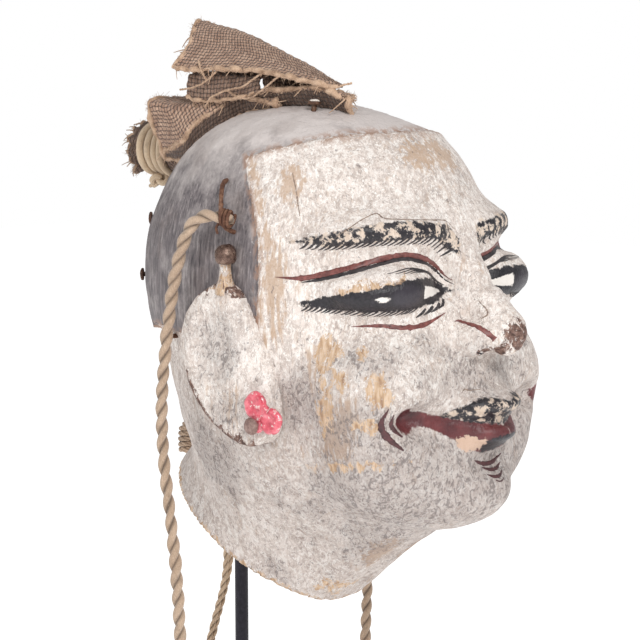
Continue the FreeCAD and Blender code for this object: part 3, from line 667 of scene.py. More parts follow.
def paint_masks(points):
    """Signed distances to each painted area, one value per point."""
    turn = turn_of(points)
    x, y, z = points.T
    near = x < 0
    front = y < HEAD_Y - 4
    masks = {}
    low_edge = 266.5 + 2.0 * np.sin(turn / 9.0) + 4.0 * smoothstep(125, 90, turn)
    masks["hair"] = np.minimum(np.maximum(z - hair_line(turn), turn - hair_side(z)),
                               z - low_edge)
    brow = band(turn, z, BROW_TOP, BROW_BOTTOM)
    eye = band(turn, z, EYE_TOP, EYE_BOTTOM)
    white = np.minimum(band(turn, z, [(11.8, 284.2), (22.6, 286.9)], [(11.8, 283.7), (22.6, 282.6)]),
                       22.6 - turn)
    iris = patch(turn, z, (28.5, 284.0), (5.6, 3.9))
    blob = np.where(near, patch(turn, z, (29.6, 245.6), (3.1, 4.2), lean=-15),
                    patch(turn, z, (34.2, 244.8), (1.5, 3.2)))
    lips = band(turn, z, LIP_LINE, LIP_BOTTOM)
    mouth = np.maximum(np.where(near, lips, np.minimum(lips, 17.0 - turn)), blob)
    upper_lip = band(turn, z, LIP_TOP, LIP_LINE)
    lower_dark = patch(np.where(near, turn, -turn), z, (-0.5, 235.2), (7.4, 3.4))
    masks["ink"] = np.where(front, np.maximum.reduce([brow, eye, upper_lip, lower_dark]), OFF)
    masks["red"] = np.where(front, mouth, OFF)
    white = np.where(near, np.maximum(white, patch(turn, z, (36.0, 283.4), (1.9, 0.8))), white)
    masks["lipchip"] = np.where(near & front, patch(turn, z, (9.6, 236.0), (4.0, 2.4), lean=12), OFF)
    masks["eyewhite"] = np.where(front, white, OFF)
    masks["iris"] = np.where(front, iris, OFF)
    masks["brow"] = np.where(front, np.maximum(brow, np.minimum(upper_lip - 0.7, 1.2)), OFF)
    # places where the ground has gone down to bare wood
    cheek = [((47.5, 258), (2.2, 3), 0), ((51, 249.5), (2, 7.5), 0), ((38, 255.5), (3.2, 4.8), 0),
             ((40.5, 244.5), (3, 2.2), 0), ((45, 230.5), (8.5, 1), -10), ((41, 266.5), (1.5, 1.5), 0)]
    upper = np.minimum(patch(turn, z, (50.5, 265.5), (4.6, 5.4)), -patch(turn, z, (46.0, 262.4), (3.4, 2.8)))
    bare = np.maximum.reduce([patch(turn, z, *row) for row in cheek] + [upper])
    lid = band(turn, z, [(30, 289.6), (40, 288.6), (47, 286.2)], [(30, 287.6), (40, 285.0), (47, 284.2)])
    bare = np.where(near, np.maximum(bare, lid), patch(turn, z, (52, 246), (7, 10)))
    rim = above_foot(points)
    foot_chip = 5.0 - np.linalg.norm((points - (-9, -51, 183.5)) * (0.55, 0.8, 0.9), axis=1)
    masks["bare"] = np.maximum.reduce([np.where(front, bare, OFF), 0.9 - rim, foot_chip])
    nose_tip = np.maximum(5.0 - np.linalg.norm((points - (-1.0, -118.8, 269.8)) * (1.0, 1.0, 0.9), axis=1),
                          2.4 - np.linalg.norm((points - (-6.6, -113.2, 264.8)) * (0.8, 0.6, 1.3), axis=1))
    # the strip beside the top of the ear is painted dark brown: partly bare wood, partly painted shade of a
    # recess that the carving does not have
    recess_shade_and_wood = np.minimum(np.minimum(turn - 75.0, 83 - turn - (285 - z) * 0.25), np.minimum(z - 274, 300 - z))
    masks["wood"] = np.maximum(nose_tip, recess_shade_and_wood)
    # grey grime where hands and dust have worn the ground; the broad patches round the chin and jaw also stand
    # for painted shade there
    dirt_and_shade = [((30, 234), (18, 10)), ((14, 219), (20, 12)), ((34, 222), (16, 9)), ((8, 258), (16, 7)),
            ((44, 243), (16, 9)),
            ((62, 214), (18, 5)), ((92, 187), (12, 6)), ((26, 199), (26, 6)), ((22, 266), (14, 5)),
            ((38, 264), (12, 5)), ((58, 250), (9, 12)),
            ((20, 232), (12, 7)), ((108, 225), (20, 14)), ((30, 205), (26, 7)), ((24, 224), (22, 13)),
            ((24, 224), (34, 20))]
    masks["dirt_and_shade"] = np.maximum.reduce([patch(turn, z, *row) for row in dirt_and_shade])
    # upright scrapes that let the tan wood show through
    scrapes = [((68, 285), (6, 20)), ((55, 262), (4, 12)), ((48, 240), (7, 11)), ((75, 250), (5, 12)),
               ((20, 195), (14, 8)), ((46.5, 247), (5.5, 11)),
               ((8, 326), (14, 7)), ((64, 318), (7, 8))]
    side_edge = 3.6 - np.abs(turn - hair_side(z) + 3.0)
    masks["scrape"] = np.maximum.reduce([patch(turn, z, *row) for row in scrapes]
                                        + [np.where(z > 262, side_edge, OFF)])
    masks["dust"] = 10 * np.maximum(smoothstep(306, 343, z),
                                    0.8 * smoothstep(104, 74, turn) * smoothstep(318, 334, z))
    # painted shade: the ground darkens towards the bottom of the head, below the cheeks
    masks["low"] = 10 * smoothstep(268, 242, z)
    masks["rim"] = rim
    return masks


def relief(points, masks):
    """How far each point of the head stands out from the smooth carving, in mm."""
    turn = turn_of(points)
    z = points[:, 2]
    face = smoothstep(-42, -60, points[:, 1])
    out = 0.30 * noise_at(points, 24.0, seed=1) + 0.16 * noise_at(points, 7.0, seed=2, octaves=2)
    hair = smoothstep(-0.5, 0.5, masks["hair"] + 0.9 * noise_at(points, 3.5, seed=3))
    out -= 0.55 * hair
    nape = np.interp(z, [228, 236, 242, 250, 264], [0.0, 0.1, 0.9, 1.3, 3.0])
    out -= nape * smoothstep(102, 114, turn) * (1 - hair) * smoothstep(-60, -45, points[:, 1])
    lumps = np.exp(-((masks["hair"] + 1.3) / 1.3) ** 2)
    out += 0.55 * lumps * (0.6 + 0.8 * noise_at(points, 5.0, seed=4))
    grain = noise_at(points * (1.0, 1.0, 0.10), 2.4, seed=5, octaves=2)
    out += hair * 0.28 * grain
    ragged = 2.2 * noise_at(points, 3.2, seed=6, octaves=2)
    bare = smoothstep(-0.6, 0.6, np.maximum(masks["bare"], masks["wood"]) + ragged)
    out -= 0.35 * bare * (1 - hair)
    chips = smoothstep(0.42, 0.52, noise_at(points, 4.2, seed=7, octaves=2))
    out -= 0.22 * chips * (1 - hair)
    out += face * 0.55 * smoothstep(-1.6, 0.6, masks["brow"])
    lid = curve(turn, LID) - 0.45       # the groove runs just under the painted line
    out -= face * 0.7 * np.exp(-((z - lid) / 1.1) ** 2) * smoothstep(64, 52, turn)
    out += face * 0.35 * np.exp(-((z - lid + 2.4) / 1.4) ** 2) * smoothstep(64, 52, turn)
    mouth = curve(turn, LIP_LINE)
    out -= face * 1.1 * np.exp(-((z - mouth) / 0.9) ** 2) * smoothstep(30, 22, turn)
    fold = np.array([[46.0, -41.2, 228.5], [34.4, -56.8, 211.4], [20.0, -61.0, 199.0], [6.0, -58.4, 189.8]])
    side = points * (1, 1, 1)
    side[:, 0] = np.abs(side[:, 0])
    gap = np.min([np.linalg.norm(side - p, axis=1) for p in resample(fold, 2.0)], axis=0)
    out += 0.7 * np.exp(-(gap / 4.0) ** 2)
    return out


def gesso_material(name):
    """Chalk ground over carved wood, with worn black hair, ink, lip red and bare patches by attribute, and
    painted shade that darkens its lower part.
    """
    look = Nodes(name, roughness=0.75)
    fine = look.noise(0.9, detail=3)
    rough = look.noise(2.8, detail=6, rough=0.66, distortion=0.7)
    broad = look.noise(16.0, detail=4)
    streak = look.noise(1.3, detail=4, place=look.stretched(1, 1, 0.14))
    cracks = look.cells(3.4, place=look.stretched(1, 1, 0.7))
    scratch_a = look.noise(0.55, detail=3, place=look.stretched(1, 1, 0.16, turn=(0.6, 0.3, 0.2)))
    scratch_b = look.noise(0.55, detail=3, place=look.stretched(1, 1, 0.16, turn=(-0.7, -0.5, 0.9)))

    def jagged(value, amount, source=rough, soft=0.22):
        wander = look.math("MULTIPLY_ADD", source, amount * 2, -amount)
        return look.remap(look.math("ADD", value, wander), -soft, soft)

    # ground
    ground = look.ramp(look.math("MULTIPLY_ADD", rough, 0.6, look.times(broad, 0.5)),
                       [(0.34, (0.30, 0.25, 0.23)), (0.45, (0.54, 0.465, 0.42)), (0.54, (0.69, 0.605, 0.550)),
                        (0.66, (0.81, 0.740, 0.690))])
    marks = look.times(look.remap(scratch_a, 0.58, 0.66), 0.65)
    ground = look.mix(marks, ground, (0.88, 0.845, 0.80))
    marks = look.times(look.remap(scratch_b, 0.59, 0.66), 0.60)
    ground = look.mix(marks, ground, (0.34, 0.285, 0.265))
    flaked = look.noise(2.6, detail=6, rough=0.66, place=look.stretched(1, 1, 0.55, turn=(0.35, 0.2, 0.1)),
                        distortion=1.4)
    flaked = look.math("SUBTRACT", flaked, look.times(broad, 0.12))
    ground = look.mix(look.remap(flaked, 0.500, 0.509, 0.0, 0.58), ground, (0.88, 0.845, 0.80))
    ground = look.mix(look.remap(flaked, 0.400, 0.384, 0.0, 0.42), ground, (0.36, 0.29, 0.255))
    outline = look.remap(look.math("ABSOLUTE", look.math("SUBTRACT", flaked, 0.494)), 0.007, 0.0)
    ground = look.mix(look.times(outline, 0.38), ground, (0.30, 0.235, 0.205))
    specks = look.noise(1.15, detail=5, rough=0.62, place=look.stretched(1, 1, 0.78, turn=(0.2, 0.1, 0.0)),
                        distortion=1.9)
    cluster = look.remap(look.noise(8.0, detail=3), 0.46, 0.64, 0.04, 0.62)
    ground = look.mix(look.remap(specks, 0.430, 0.395, 0.0, 0.75), ground, (0.93, 0.90, 0.865))
    ground = look.mix(look.times(look.remap(specks, 0.580, 0.598), cluster), ground, (0.28, 0.215, 0.185))
    veins = look.times(look.remap(cracks, 0.035, 0.0), look.remap(look.noise(9.0), 0.50, 0.64, 0.0, 0.45))
    ground = look.mix(veins, ground, (0.26, 0.20, 0.18))
    tan = look.times(look.remap(streak, 0.53, 0.66), look.remap(look.noise(12.0), 0.46, 0.66, 0.0, 0.55))
    ground = look.mix(tan, ground, (0.52, 0.36, 0.25))
    scraped = look.math("MULTIPLY_ADD", look.attribute("scrape"), 0.05,
                        look.math("MULTIPLY_ADD", rough, 0.35, streak))
    scraped = look.times(look.remap(scraped, 0.75, 0.86), look.remap(look.attribute("scrape"), -0.6, 1.6))
    ground = look.mix(look.times(scraped, 0.75), ground, (0.48, 0.330, 0.225))
    # painted shade: attribute 'low' darkens the ground towards the bottom of the head
    ground = look.mix(look.remap(look.attribute("low"), 0.0, 10.0), ground, (0.80, 0.785, 0.785), "MULTIPLY")
    # grey grime, and painted shade round the chin and jaw
    dirty = look.remap(look.math("MULTIPLY_ADD", look.attribute("dirt_and_shade"), 0.045, look.noise(7.0, detail=4)),
                       0.38, 0.72)
    veil = look.times(dirty, 0.38)
    ground = look.mix(veil, ground, (0.33, 0.29, 0.275))
    grit = look.math("MULTIPLY_ADD", dirty, 0.085,
                     look.noise(2.1, detail=8, rough=0.74,
                                place=look.stretched(1, 1, 0.72, turn=(-0.25, 0.1, 0.1)), distortion=1.5))
    ground = look.mix(look.remap(grit, 0.598, 0.634, 0.0, 0.70), ground, (0.15, 0.125, 0.12))
    # bare wood
    ochre = look.ramp(streak, [(0.32, (0.30, 0.175, 0.105)), (0.48, (0.52, 0.355, 0.225)),
                               (0.62, (0.66, 0.50, 0.365))])
    torn = look.noise(3.2, detail=8, rough=0.74, place=look.stretched(1.0, 1.0, 0.5), distortion=0.6)
    torn = look.remap(torn, 0.34, 0.66)
    bare = jagged(look.attribute("bare"), 1.9, torn, soft=0.22)
    kept = look.noise(1.7, detail=7, rough=0.75, place=look.stretched(1.0, 1.0, 0.6), distortion=0.8)
    bare = look.times(bare, look.remap(kept, 0.57, 0.53, 0.12, 1.0))
    color = look.mix(bare, ground, ochre)
    # dark brown by attribute 'wood': bare wood at the nose tip and ear edges, painted shade in the strip
    # beside the ear top and partly along the ear's lower edge
    brown = look.ramp(look.noise(1.2, detail=6, rough=0.65),
                      [(0.36, (0.050, 0.026, 0.020)), (0.52, (0.165, 0.092, 0.072)),
                                                              (0.66, (0.31, 0.20, 0.155))])
    wood = jagged(look.attribute("wood"), 2.6, torn, soft=0.25)
    wood = look.times(wood, look.remap(kept, 0.62, 0.58, 0.1, 1.0))
    color = look.mix(wood, color, brown)
    # paint
    red = jagged(look.attribute("red"), 0.8, fine)
    red_tone = look.ramp(look.noise(6.0, detail=4),
                         [(0.35, (0.062, 0.013, 0.016)), (0.65, (0.160, 0.036, 0.038))])
    chip = jagged(look.attribute("lipchip"), 2.6, look.noise(1.6, detail=6, rough=0.7), soft=0.15)
    red = look.times(red, look.math("SUBTRACT", 1.0, chip))
    color = look.mix(red, color, red_tone)
    ink = jagged(look.attribute("ink"), 1.9, look.noise(1.9, detail=6, rough=0.68))
    worn = look.remap(look.math("MULTIPLY_ADD", look.attribute("brow"), 0.02,
                                look.noise(3.0, detail=5, rough=0.7)),
                      0.515, 0.565)
    worn = look.times(worn, look.remap(look.attribute("brow"), -0.8, -0.2))
    ink = look.times(ink, look.math("SUBTRACT", 1.0, worn))
    ink = look.times(ink, look.math("SUBTRACT", 1.0, chip))
    color = look.mix(look.times(chip, 0.9), color, (0.60, 0.415, 0.31))
    ink_tone = look.ramp(fine, [(0.35, (0.006, 0.005, 0.008)), (0.68, (0.024, 0.019, 0.025))])
    color = look.mix(look.times(worn, 0.65), color, (0.62, 0.48, 0.36))
    color = look.mix(ink, color, ink_tone)
    iris = look.times(look.remap(look.attribute("iris"), -0.6, 1.2), 0.85)
    color = look.mix(look.times(iris, ink), color, (0.034, 0.028, 0.038))
    white = jagged(look.attribute("eyewhite"), 0.55, fine, soft=0.12)
    color = look.mix(white, color, (0.80, 0.75, 0.70))
    # hair
    strands = look.noise(0.8, detail=5, rough=0.7, place=look.stretched(1, 1, 0.08))
    hair_tone = look.ramp(look.math("MULTIPLY_ADD", strands, 0.6, look.times(streak, 0.4)),
                          [(0.34, (0.040, 0.033, 0.036)), (0.45, (0.125, 0.108, 0.113)),
                           (0.56, (0.215, 0.185, 0.188)), (0.72, (0.50, 0.46, 0.45))])
    dusty = look.math("MULTIPLY_ADD", look.attribute("dust"), 0.062, look.noise(9.0, detail=5, rough=0.65))
    hair_tone = look.mix(look.remap(dusty, 0.50, 1.00, 0.0, 0.92), hair_tone, (0.64, 0.580, 0.555))
    flecks = look.times(look.remap(look.noise(2.2, detail=5, rough=0.75), 0.66, 0.72), 0.8)
    hair_tone = look.mix(flecks, hair_tone, (0.50, 0.48, 0.47))
    rubbed = look.times(look.remap(look.noise(14.0, detail=4), 0.54, 0.68), 0.22)
    hair_tone = look.mix(rubbed, hair_tone, (0.25, 0.19, 0.165))
    hair = jagged(look.attribute("hair"), 1.6, rough)
    edge = look.times(look.remap(look.math("ABSOLUTE", look.attribute("hair")), 2.6, 0.4), 0.85)
    edge = look.times(edge, look.remap(torn, 0.42, 0.56))
    color = look.mix(hair, color, hair_tone)
    color = look.mix(edge, color, (0.36, 0.215, 0.15))
    look.color(color)
    painted = look.math("MAXIMUM", red, ink)
    sheen = look.mix(painted, (0.80, 0.80, 0.80), (0.36, 0.36, 0.36))
    look.rough(look.mix(hair, sheen, (0.58, 0.58, 0.58)))
    ridges = look.math("MULTIPLY_ADD", rough, 0.7, look.times(scratch_a, 0.5))
    look.bump(look.math("MULTIPLY_ADD", look.remap(cracks, 0.0, 0.10), 0.10, ridges), 0.55, 0.75)
    look.bump(look.times(look.math("ADD", look.times(streak, hair), look.times(streak, bare)),
                        1.0), 0.45, 0.8)
    look.bump(look.math("SUBTRACT", ink, look.times(bare, 1.5)), 0.12, 0.7)
    return look.material


class Skin:
    """The finished head surface, for laying paint strokes on it."""

    def __init__(self, obj):
        vertices = [v.co / MM for v in obj.data.vertices]
        self.tree = BVHTree.FromPolygons(vertices, [tuple(p.vertices) for p in obj.data.polygons])
        self.obj = obj

    def at(self, side, turn, height):
        """Point and normal where a level line from the axis at this turn leaves the head."""
        a = math.radians(turn)
        out = Vector((side * math.sin(a), -math.cos(a), 0.0))
        start = Vector((0.0, HEAD_Y, height)) + out * 120.0
        place, normal, _, _ = self.tree.ray_cast(start, -out)
        return place, normal


def stroke(builder, skin, side, stations, widths, rng, proud=0.10, wobble=0.12):
    """One brush stroke: a thin raised strip through (turn, height) stations, widths in mm at each."""
    fine = np.linspace(0, 1, 8 * len(stations))
    line = catmull_even(stations, fine)
    width = catmull_even(widths, fine) * (1 + rng.normal(0, wobble, len(fine)))
    width = np.clip(width, 0.06, None)
    places, normals = [], []
    for turn, height in line:
        place, normal = skin.at(side, turn, height)
        if place is None:
            return
        places.append(np.array(place))
        normals.append(np.array(normal))
    places = np.array(places)
    normals = unit(smooth_rows(np.array(normals)))
    tangent = unit(np.gradient(places, axis=0))
    across = unit(np.cross(normals, tangent))
    points, faces = [], []
    for k, (sideways, lift) in enumerate(((-0.5, -0.12), (-0.32, 1.0), (0.32, 1.0), (0.5, -0.12))):
        for i in range(len(places)):
            spot = places[i] + across[i] * width[i] * sideways
            found, normal, _, _ = skin.tree.find_nearest(Vector(spot))
            points.append(np.array(found) + normals[i] * proud * lift)
    count = len(places)
    for k in range(3):
        for i in range(count - 1):
            a = k * count + i
            faces.append((a, a + 1, a + count + 1, a + count))
    for i in range(count - 1):
        faces.append((3 * count + i, 3 * count + i + 1, i + 1, i))
    faces.append((0, count, 2 * count, 3 * count))
    faces.append((count - 1, 4 * count - 1, 3 * count - 1, 2 * count - 1))
    builder.add(points, faces)


def smooth_rows(rows, passes=3):
    for _ in range(passes):
        rows = np.concatenate([rows[:1], (rows[:-2] + rows[1:-1] + rows[2:]) / 3, rows[-1:]])
    return rows


def paint_strokes(skin, rng):
    """Eyelid lines, lashes, creases and chin strokes, as thin dried paint on the ground."""
    red, dark, deep, brown = Builder(), Builder(), Builder(), Builder()
    lid = [(turn, float(curve(turn, LID))) for turn in (67.5, 59, 51, 41, 30, 22.5, 12, 7)]
    for side in (-1, 1):
        stroke(red, skin, side, [(t, z + 0.5) for t, z in lid], (0.1, 1.6, 2.0, 2.0, 2.0, 1.9, 1.5, 0.1),
               rng, proud=0.20)
        stroke(dark, skin, side, [(t, z - 0.9) for t, z in lid[1:]], (0.1, 1.6, 2.1, 2.0, 1.8, 1.4, 0.1),
               rng, proud=0.19)
        stroke(red, skin, side, [(43.5, 274.4), (35.3, 274.7), (28, 273.8), (21, 274.4), (13.4, 277.4)],
               (0.15, 1.2, 1.7, 1.6, 0.2), rng)
        if side < 0:
            stroke(deep, skin, side, [(35.6, 250.4), (37.2, 245.6), (35.6, 241.4), (31.0, 236.8)],
                   (0.3, 1.8, 2.2, 0.6), rng)
            stroke(deep, skin, side, [(34.2, 248.4), (34.4, 244.8), (31.2, 241.0)], (0.4, 2.0, 0.9), rng)
        stroke(red, skin, side, [(10.6, 274.6), (9.0, 274.6), (7.7, 273.0), (5.5, 269.4)],
               (0.2, 1.1, 1.9, 1.8), rng)
        stroke(dark, skin, side, [(8.6, 265.4), (7.4, 264.8), (6.0, 264.6), (4.6, 265.0)],
               (0.2, 0.8, 0.9, 0.3), rng)
        for index in range(5):        # long lashes over the eye, drawn together at its inner corner
            stroke(dark, skin, side, [(34.0 - 2.4 * index, 291.0 - 0.10 * index),
                                      (26 - 1.6 * index, 292.1 - 0.42 * index),
                                      (17.2 - 0.5 * index, 289.9 - 0.42 * index), (9.4, 285.4)],
                   (0.12, 0.55, 0.60, 0.15), rng, proud=0.17)
        for index in range(26):       # short lashes under the brow
            turn = 7.5 + index * 1.95 + rng.uniform(-0.3, 0.3)
            foot = curve(turn, BROW_BOTTOM) + 0.7
            stroke(dark, skin, side, [(turn, foot), (turn + 1.5, foot - 1.6), (turn + 3.3, foot - 2.5)],
                   (1.1, 0.75, 0.15), rng, proud=0.13)
        for index in range(22):       # fine lashes under the eye
            turn = 24 + index * 1.55 + rng.uniform(-0.3, 0.3)
            foot = curve(turn, EYE_BOTTOM) + 0.3
            stroke(dark, skin, side, [(turn, foot), (turn + 1.2, foot - 1.0), (turn + 2.6, foot - 1.7)],
                   (0.75, 0.6, 0.15), rng, proud=0.15)
        for index in range(4):        # thick lashes by the inner corner
            turn = 12.4 + index * 2.7
            foot = curve(turn, EYE_BOTTOM) - 0.6 - 0.1 * index
            stroke(dark, skin, side, [(turn, foot), (turn + 1.3, foot - 1.4), (turn + 3.4, foot - 2.6)],
                   (1.1, 1.1, 0.3), rng, proud=0.15)
    # creases under the lip: (turn and height of the middle, half length, rise of the ends, width)
    for turn, height, half, rise, thick in ((0.5, 227.8, 6.5, 2.1, 1.6), (1.3, 225.9, 4.5, 1.3, 1.4),
                                            (0.6, 224.0, 3.6, 1.1, 1.3), (0.8, 222.5, 2.0, 0.7, 0.5)):
        line = [(turn + half * u, height + rise * u * u) for u in (-1, -0.5, 0, 0.5, 1)]
        stroke(deep, skin, 1, line, (0.3, thick, thick, thick * 0.8, 0.2), rng, proud=0.14)
    over_brow = ((48, -1.5), (44, 0.5), (40, 2), (35, 3), (33, 1.5), (30, 1), (17, 1), (9, 1), (5, 3.5))
    cracks = ([(turn, float(curve(turn, BROW_TOP)) + lift) for turn, lift in over_brow],
              ((64, 321), (62, 316), (61, 312), (60, 308)), ((5, 281), (5, 277.5), (6, 275)),
              ((11.5, 252.5), (10.5, 253.5), (9, 253), (5.5, 253)))
    for line in cracks:
        stroke(brown, skin, -1, line, (0.2,) + (0.42,) * (len(line) - 2) + (0.2,), rng, wobble=0.35)
    return {"red": red, "ink": dark, "deep": deep, "crack": brown}


# ================================================================ ears
# Rim of the ear seen from its side: (y, z) going round
EAR_RIM = [
    (-62.4, 241.5), (-58.0, 236.2), (-50.5, 236.4), (-42.0, 240.4), (-34.4, 246.8), (-29.0, 255.5),
    (-26.8, 266.0),
    (-28.4, 274.6), (-32.6, 281.0), (-38.6, 285.2), (-44.5, 286.8), (-49.5, 284.0), (-53.0, 278.0),
    (-56.6, 270.0),
    (-60.0, 261.0), (-62.2, 251.0),
]
EAR_INNER, EAR_OUTER = 49.5, 58.8


def closed_curve(corners, count):
    """Smooth closed outline through its corners, with `count` points from each to the next."""
    ring = corners[-2:] + corners + corners[:3]
    where = np.linspace(2, len(ring) - 3, count * len(corners), endpoint=False)
    return catmull(np.arange(len(ring)), ring, where)


def outline_distance(q, outline):
    """Signed distance in the plane to a closed outline, negative inside."""
    best = np.full(q.shape[:-1], 1e9)
    inside = np.zeros(q.shape[:-1], bool)
    for a, b in zip(outline, np.roll(outline, -1, axis=0)):
        ab = b - a
        t = np.clip(((q - a) @ ab) / (ab @ ab), 0, 1)
        best = np.minimum(best, np.linalg.norm(q - a - t[..., None] * ab, axis=-1))
        straddles = (a[1] > q[..., 1]) != (b[1] > q[..., 1])
        with np.errstate(divide="ignore", invalid="ignore"):
            crossing = (b[0] - a[0]) * (q[..., 1] - a[1]) / (b[1] - a[1]) + a[0]
        inside ^= straddles & (q[..., 0] < crossing)
    return np.where(inside, -best, best)


def ear_face(y, z):
    """Distance of the ear's outer face from the middle plane."""
    front = smoothstep(-47, -61, y) * smoothstep(246, 262, z)
    face = EAR_OUTER - 4.6 * front
    ring = np.sqrt(((y + 41.5) / 9.5) ** 2 + ((z - 266.0) / 13.0) ** 2)
    rim = 0.8 * np.exp(-((ring - 1.12) / 0.13) ** 2) * smoothstep(-56, -50, y)
    face = face - 1.5 * smoothstep(1.0, 0.5, ring) + rim
    return face - 0.5 * smoothstep(275, 286, z)


def ear_distance(p):
    rim = outline_distance(p[..., 1:3], closed_curve(EAR_RIM, 5))
    top = p[..., 0] - ear_face(p[..., 1], p[..., 2])
    return np.maximum(-join(-rim, -top, 2.2), EAR_INNER - p[..., 0])


def make_ear(side, material):
    points, quads = surface_net(ear_distance, (48.3, -65.0, 232.5), (60.9, -24.0, 289.0), 0.75)
    rim = outline_distance(points[:, 1:3], closed_curve(EAR_RIM, 5))
    depth = ear_face(points[:, 1], points[:, 2]) - points[:, 0]
    _, normal = gradient(ear_distance, points)
    out = 0.22 * noise_at(points, 8.0, seed=11 + side) + 0.14 * noise_at(points, 2.6, seed=13, octaves=2)
    out -= 0.25 * smoothstep(0.35, 0.5, noise_at(points, 3.4, seed=15 + side, octaves=2))
    points = points + normal * out[:, None]
    y, z = points[:, 1], points[:, 2]
    # the ear's lower rear edge is painted dark brown: partly chipped bare wood, partly painted shade along
    # that edge
    shaded_lower_rear = smoothstep(-61, -55, y) * smoothstep(262, 252, z)
    crown = smoothstep(280, 285, z)
    worn_edge = np.where(depth > 0.5, 1.6 - np.abs(rim + 0.4) + 0.6 * (depth > 1.2), 0.9 - np.abs(rim + 0.8))
    masks = unpainted(len(points))
    masks["wood"] = np.where(shaded_lower_rear + crown > 0.3, worn_edge + 0.7 * shaded_lower_rear - 0.4 * crown, OFF)
    masks["bare"] = np.where(z > 284.5, 0.8, OFF)
    masks["dirt_and_shade"] = np.maximum(patch(-y, z, (42.0, 266.0), (10.0, 14.0)) * 0.8,
                               patch(-y, z, (50.0, 246.0), (12, 9)) * 0.7)
    masks["scrape"] = patch(-y, z, (50.0, 248.0), (4.0, 10.0))
    if side < 0:
        points = points * (-1, 1, 1)
        quads = quads[:, ::-1]
    ear = mesh_object("ear_carved_" + letter(side), points, quads)
    set_attributes(ear, masks)
    finish_piece(ear, "head", material, [f"ear_{letter(side)}"])


# ================================================================ ropes and knots
TEMPLE_ROUTE = [
    (-55.2, -46.8, 306.6), (-57.2, -41.4, 307.9), (-58.7, -35.8, 307.1), (-59.4, -32.2, 303.2),
    (-59.8, -29.0, 296.4), (-59.7, -25.4, 285.0), (-59.5, -21.8, 267.4), (-59.3, -18.9, 247.4),
    (-59.4, -19.6, 227.6), (-59.6, -22.8, 208.8), (-59.6, -25.4, 189.0), (-59.4, -26.4, 168.2),
    (-58.8, -25.8, 146.0), (-58.2, -24.2, 122.8), (-57.9, -23.5, 100.6), (-57.8, -24.1, 80.0),
]
FAR_ROUTE = [        # the far rope hangs a little further back
    (55.2, -46.8, 306.6), (57.2, -41.4, 307.9), (58.7, -35.8, 307.1), (59.4, -32.2, 303.2),
    (59.8, -29.0, 296.4), (59.7, -25.4, 285.0), (59.5, -21.8, 267.4), (59.3, -19.0, 247.4),
    (58.9, -17.6, 227.6), (58.2, -16.4, 208.8), (57.4, -15.2, 189.0), (56.6, -14.2, 168.2),
    (56.0, -13.4, 146.0), (55.6, -13.0, 122.8), (55.4, -12.8, 100.6), (55.4, -13.0, 80.0),
]
NAPE_ROUTES = {
    "a": [(1.6, 22.6, 214.6), (5.2, 22.9, 206.2), (12.0, 22.4, 195.6), (17.6, 21.4, 183.4),
          (18.5, 21.8, 170.0), (15.2, 23.0, 156.8), (10.5, 23.8, 143.6), (6.8, 24.5, 129.0),
          (5.2, 24.6, 113.4), (5.8, 24.4, 97.6), (6.6, 24.4, 83.6)],
    "b": [(-1.2, 22.4, 214.4), (1.6, 22.6, 204.6), (8.0, 21.6, 191.8), (13.8, 19.6, 178.2),
          (14.2, 21.4, 163.6), (10.6, 23.4, 149.6), (5.6, 24.0, 136.0), (1.6, 23.6, 121.2),
          (0.0, 23.0, 106.0), (1.2, 22.9, 91.6)],
}
TEMPLE_DIA, TAIL_DIA = 4.0, 2.0


def rope_material(name, pale, dark, fibre=0.22):
    look = Nodes(name, roughness=0.9, Sheen_Weight=0.25, Sheen_Roughness=0.5)
    fibres = look.noise(fibre, detail=4, rough=0.7, place=look.stretched(1, 1, 0.22))
    twist = look.noise(fibre * 0.9, detail=2, place=look.stretched(1, 1, 0.3, turn=(0.5, 0.4, 0.0)))
    broad = look.noise(9.0, detail=3)
    tone = look.math("MULTIPLY_ADD", fibres, 0.6, look.times(twist, 0.25))
    tone = look.math("MULTIPLY_ADD", broad, 0.3, tone)
    middle = tuple((a + b) / 2 for a, b in zip(pale, dark))
    color = look.ramp(tone, [(0.38, dark), (0.52, middle), (0.66, pale),
                             (0.80, tuple(min(1, c * 1.18) for c in pale))])
    # painted shade: the colour darkens deep between the strands
    hollow = look.remap(look.attribute("hollow"), 0.0, 1.0)
    color = look.mix(look.times(hollow, 0.85), color, tuple(c * 0.35 for c in dark))
    grime = look.times(look.remap(look.noise(5.0, detail=4), 0.60, 0.72), 0.4)
    look.color(look.mix(grime, color, (0.16, 0.12, 0.09)))
    look.bump(tone, 0.35, 0.9)
    return look.material


def mark_hollows(obj, line, reach):
    """Attribute 'hollow', for painted shade between the strands of a rope: 1 deep between the strands, 0 on
    their crowns.
    """
    points = np.array([v.co for v in obj.data.vertices]) / MM
    tree = KDTree(len(line))
    for index, place in enumerate(line):
        tree.insert(Vector(place), index)
    tree.balance()
    distance = np.array([tree.find(Vector(p))[2] for p in points])
    values = 1 - smoothstep(reach * 0.55, reach * 0.92, distance)
    set_attributes(obj, {"hollow": values})


def trefoil(gap, count, depth):
    """Line of an overhand knot, open by `gap` radians at each end."""
    t = np.linspace(gap, 2 * math.pi - gap, count)
    return np.stack([np.sin(t) + 2 * np.sin(2 * t), np.cos(t) - 2 * np.cos(2 * t), -np.sin(3 * t) * depth],
                    -1)


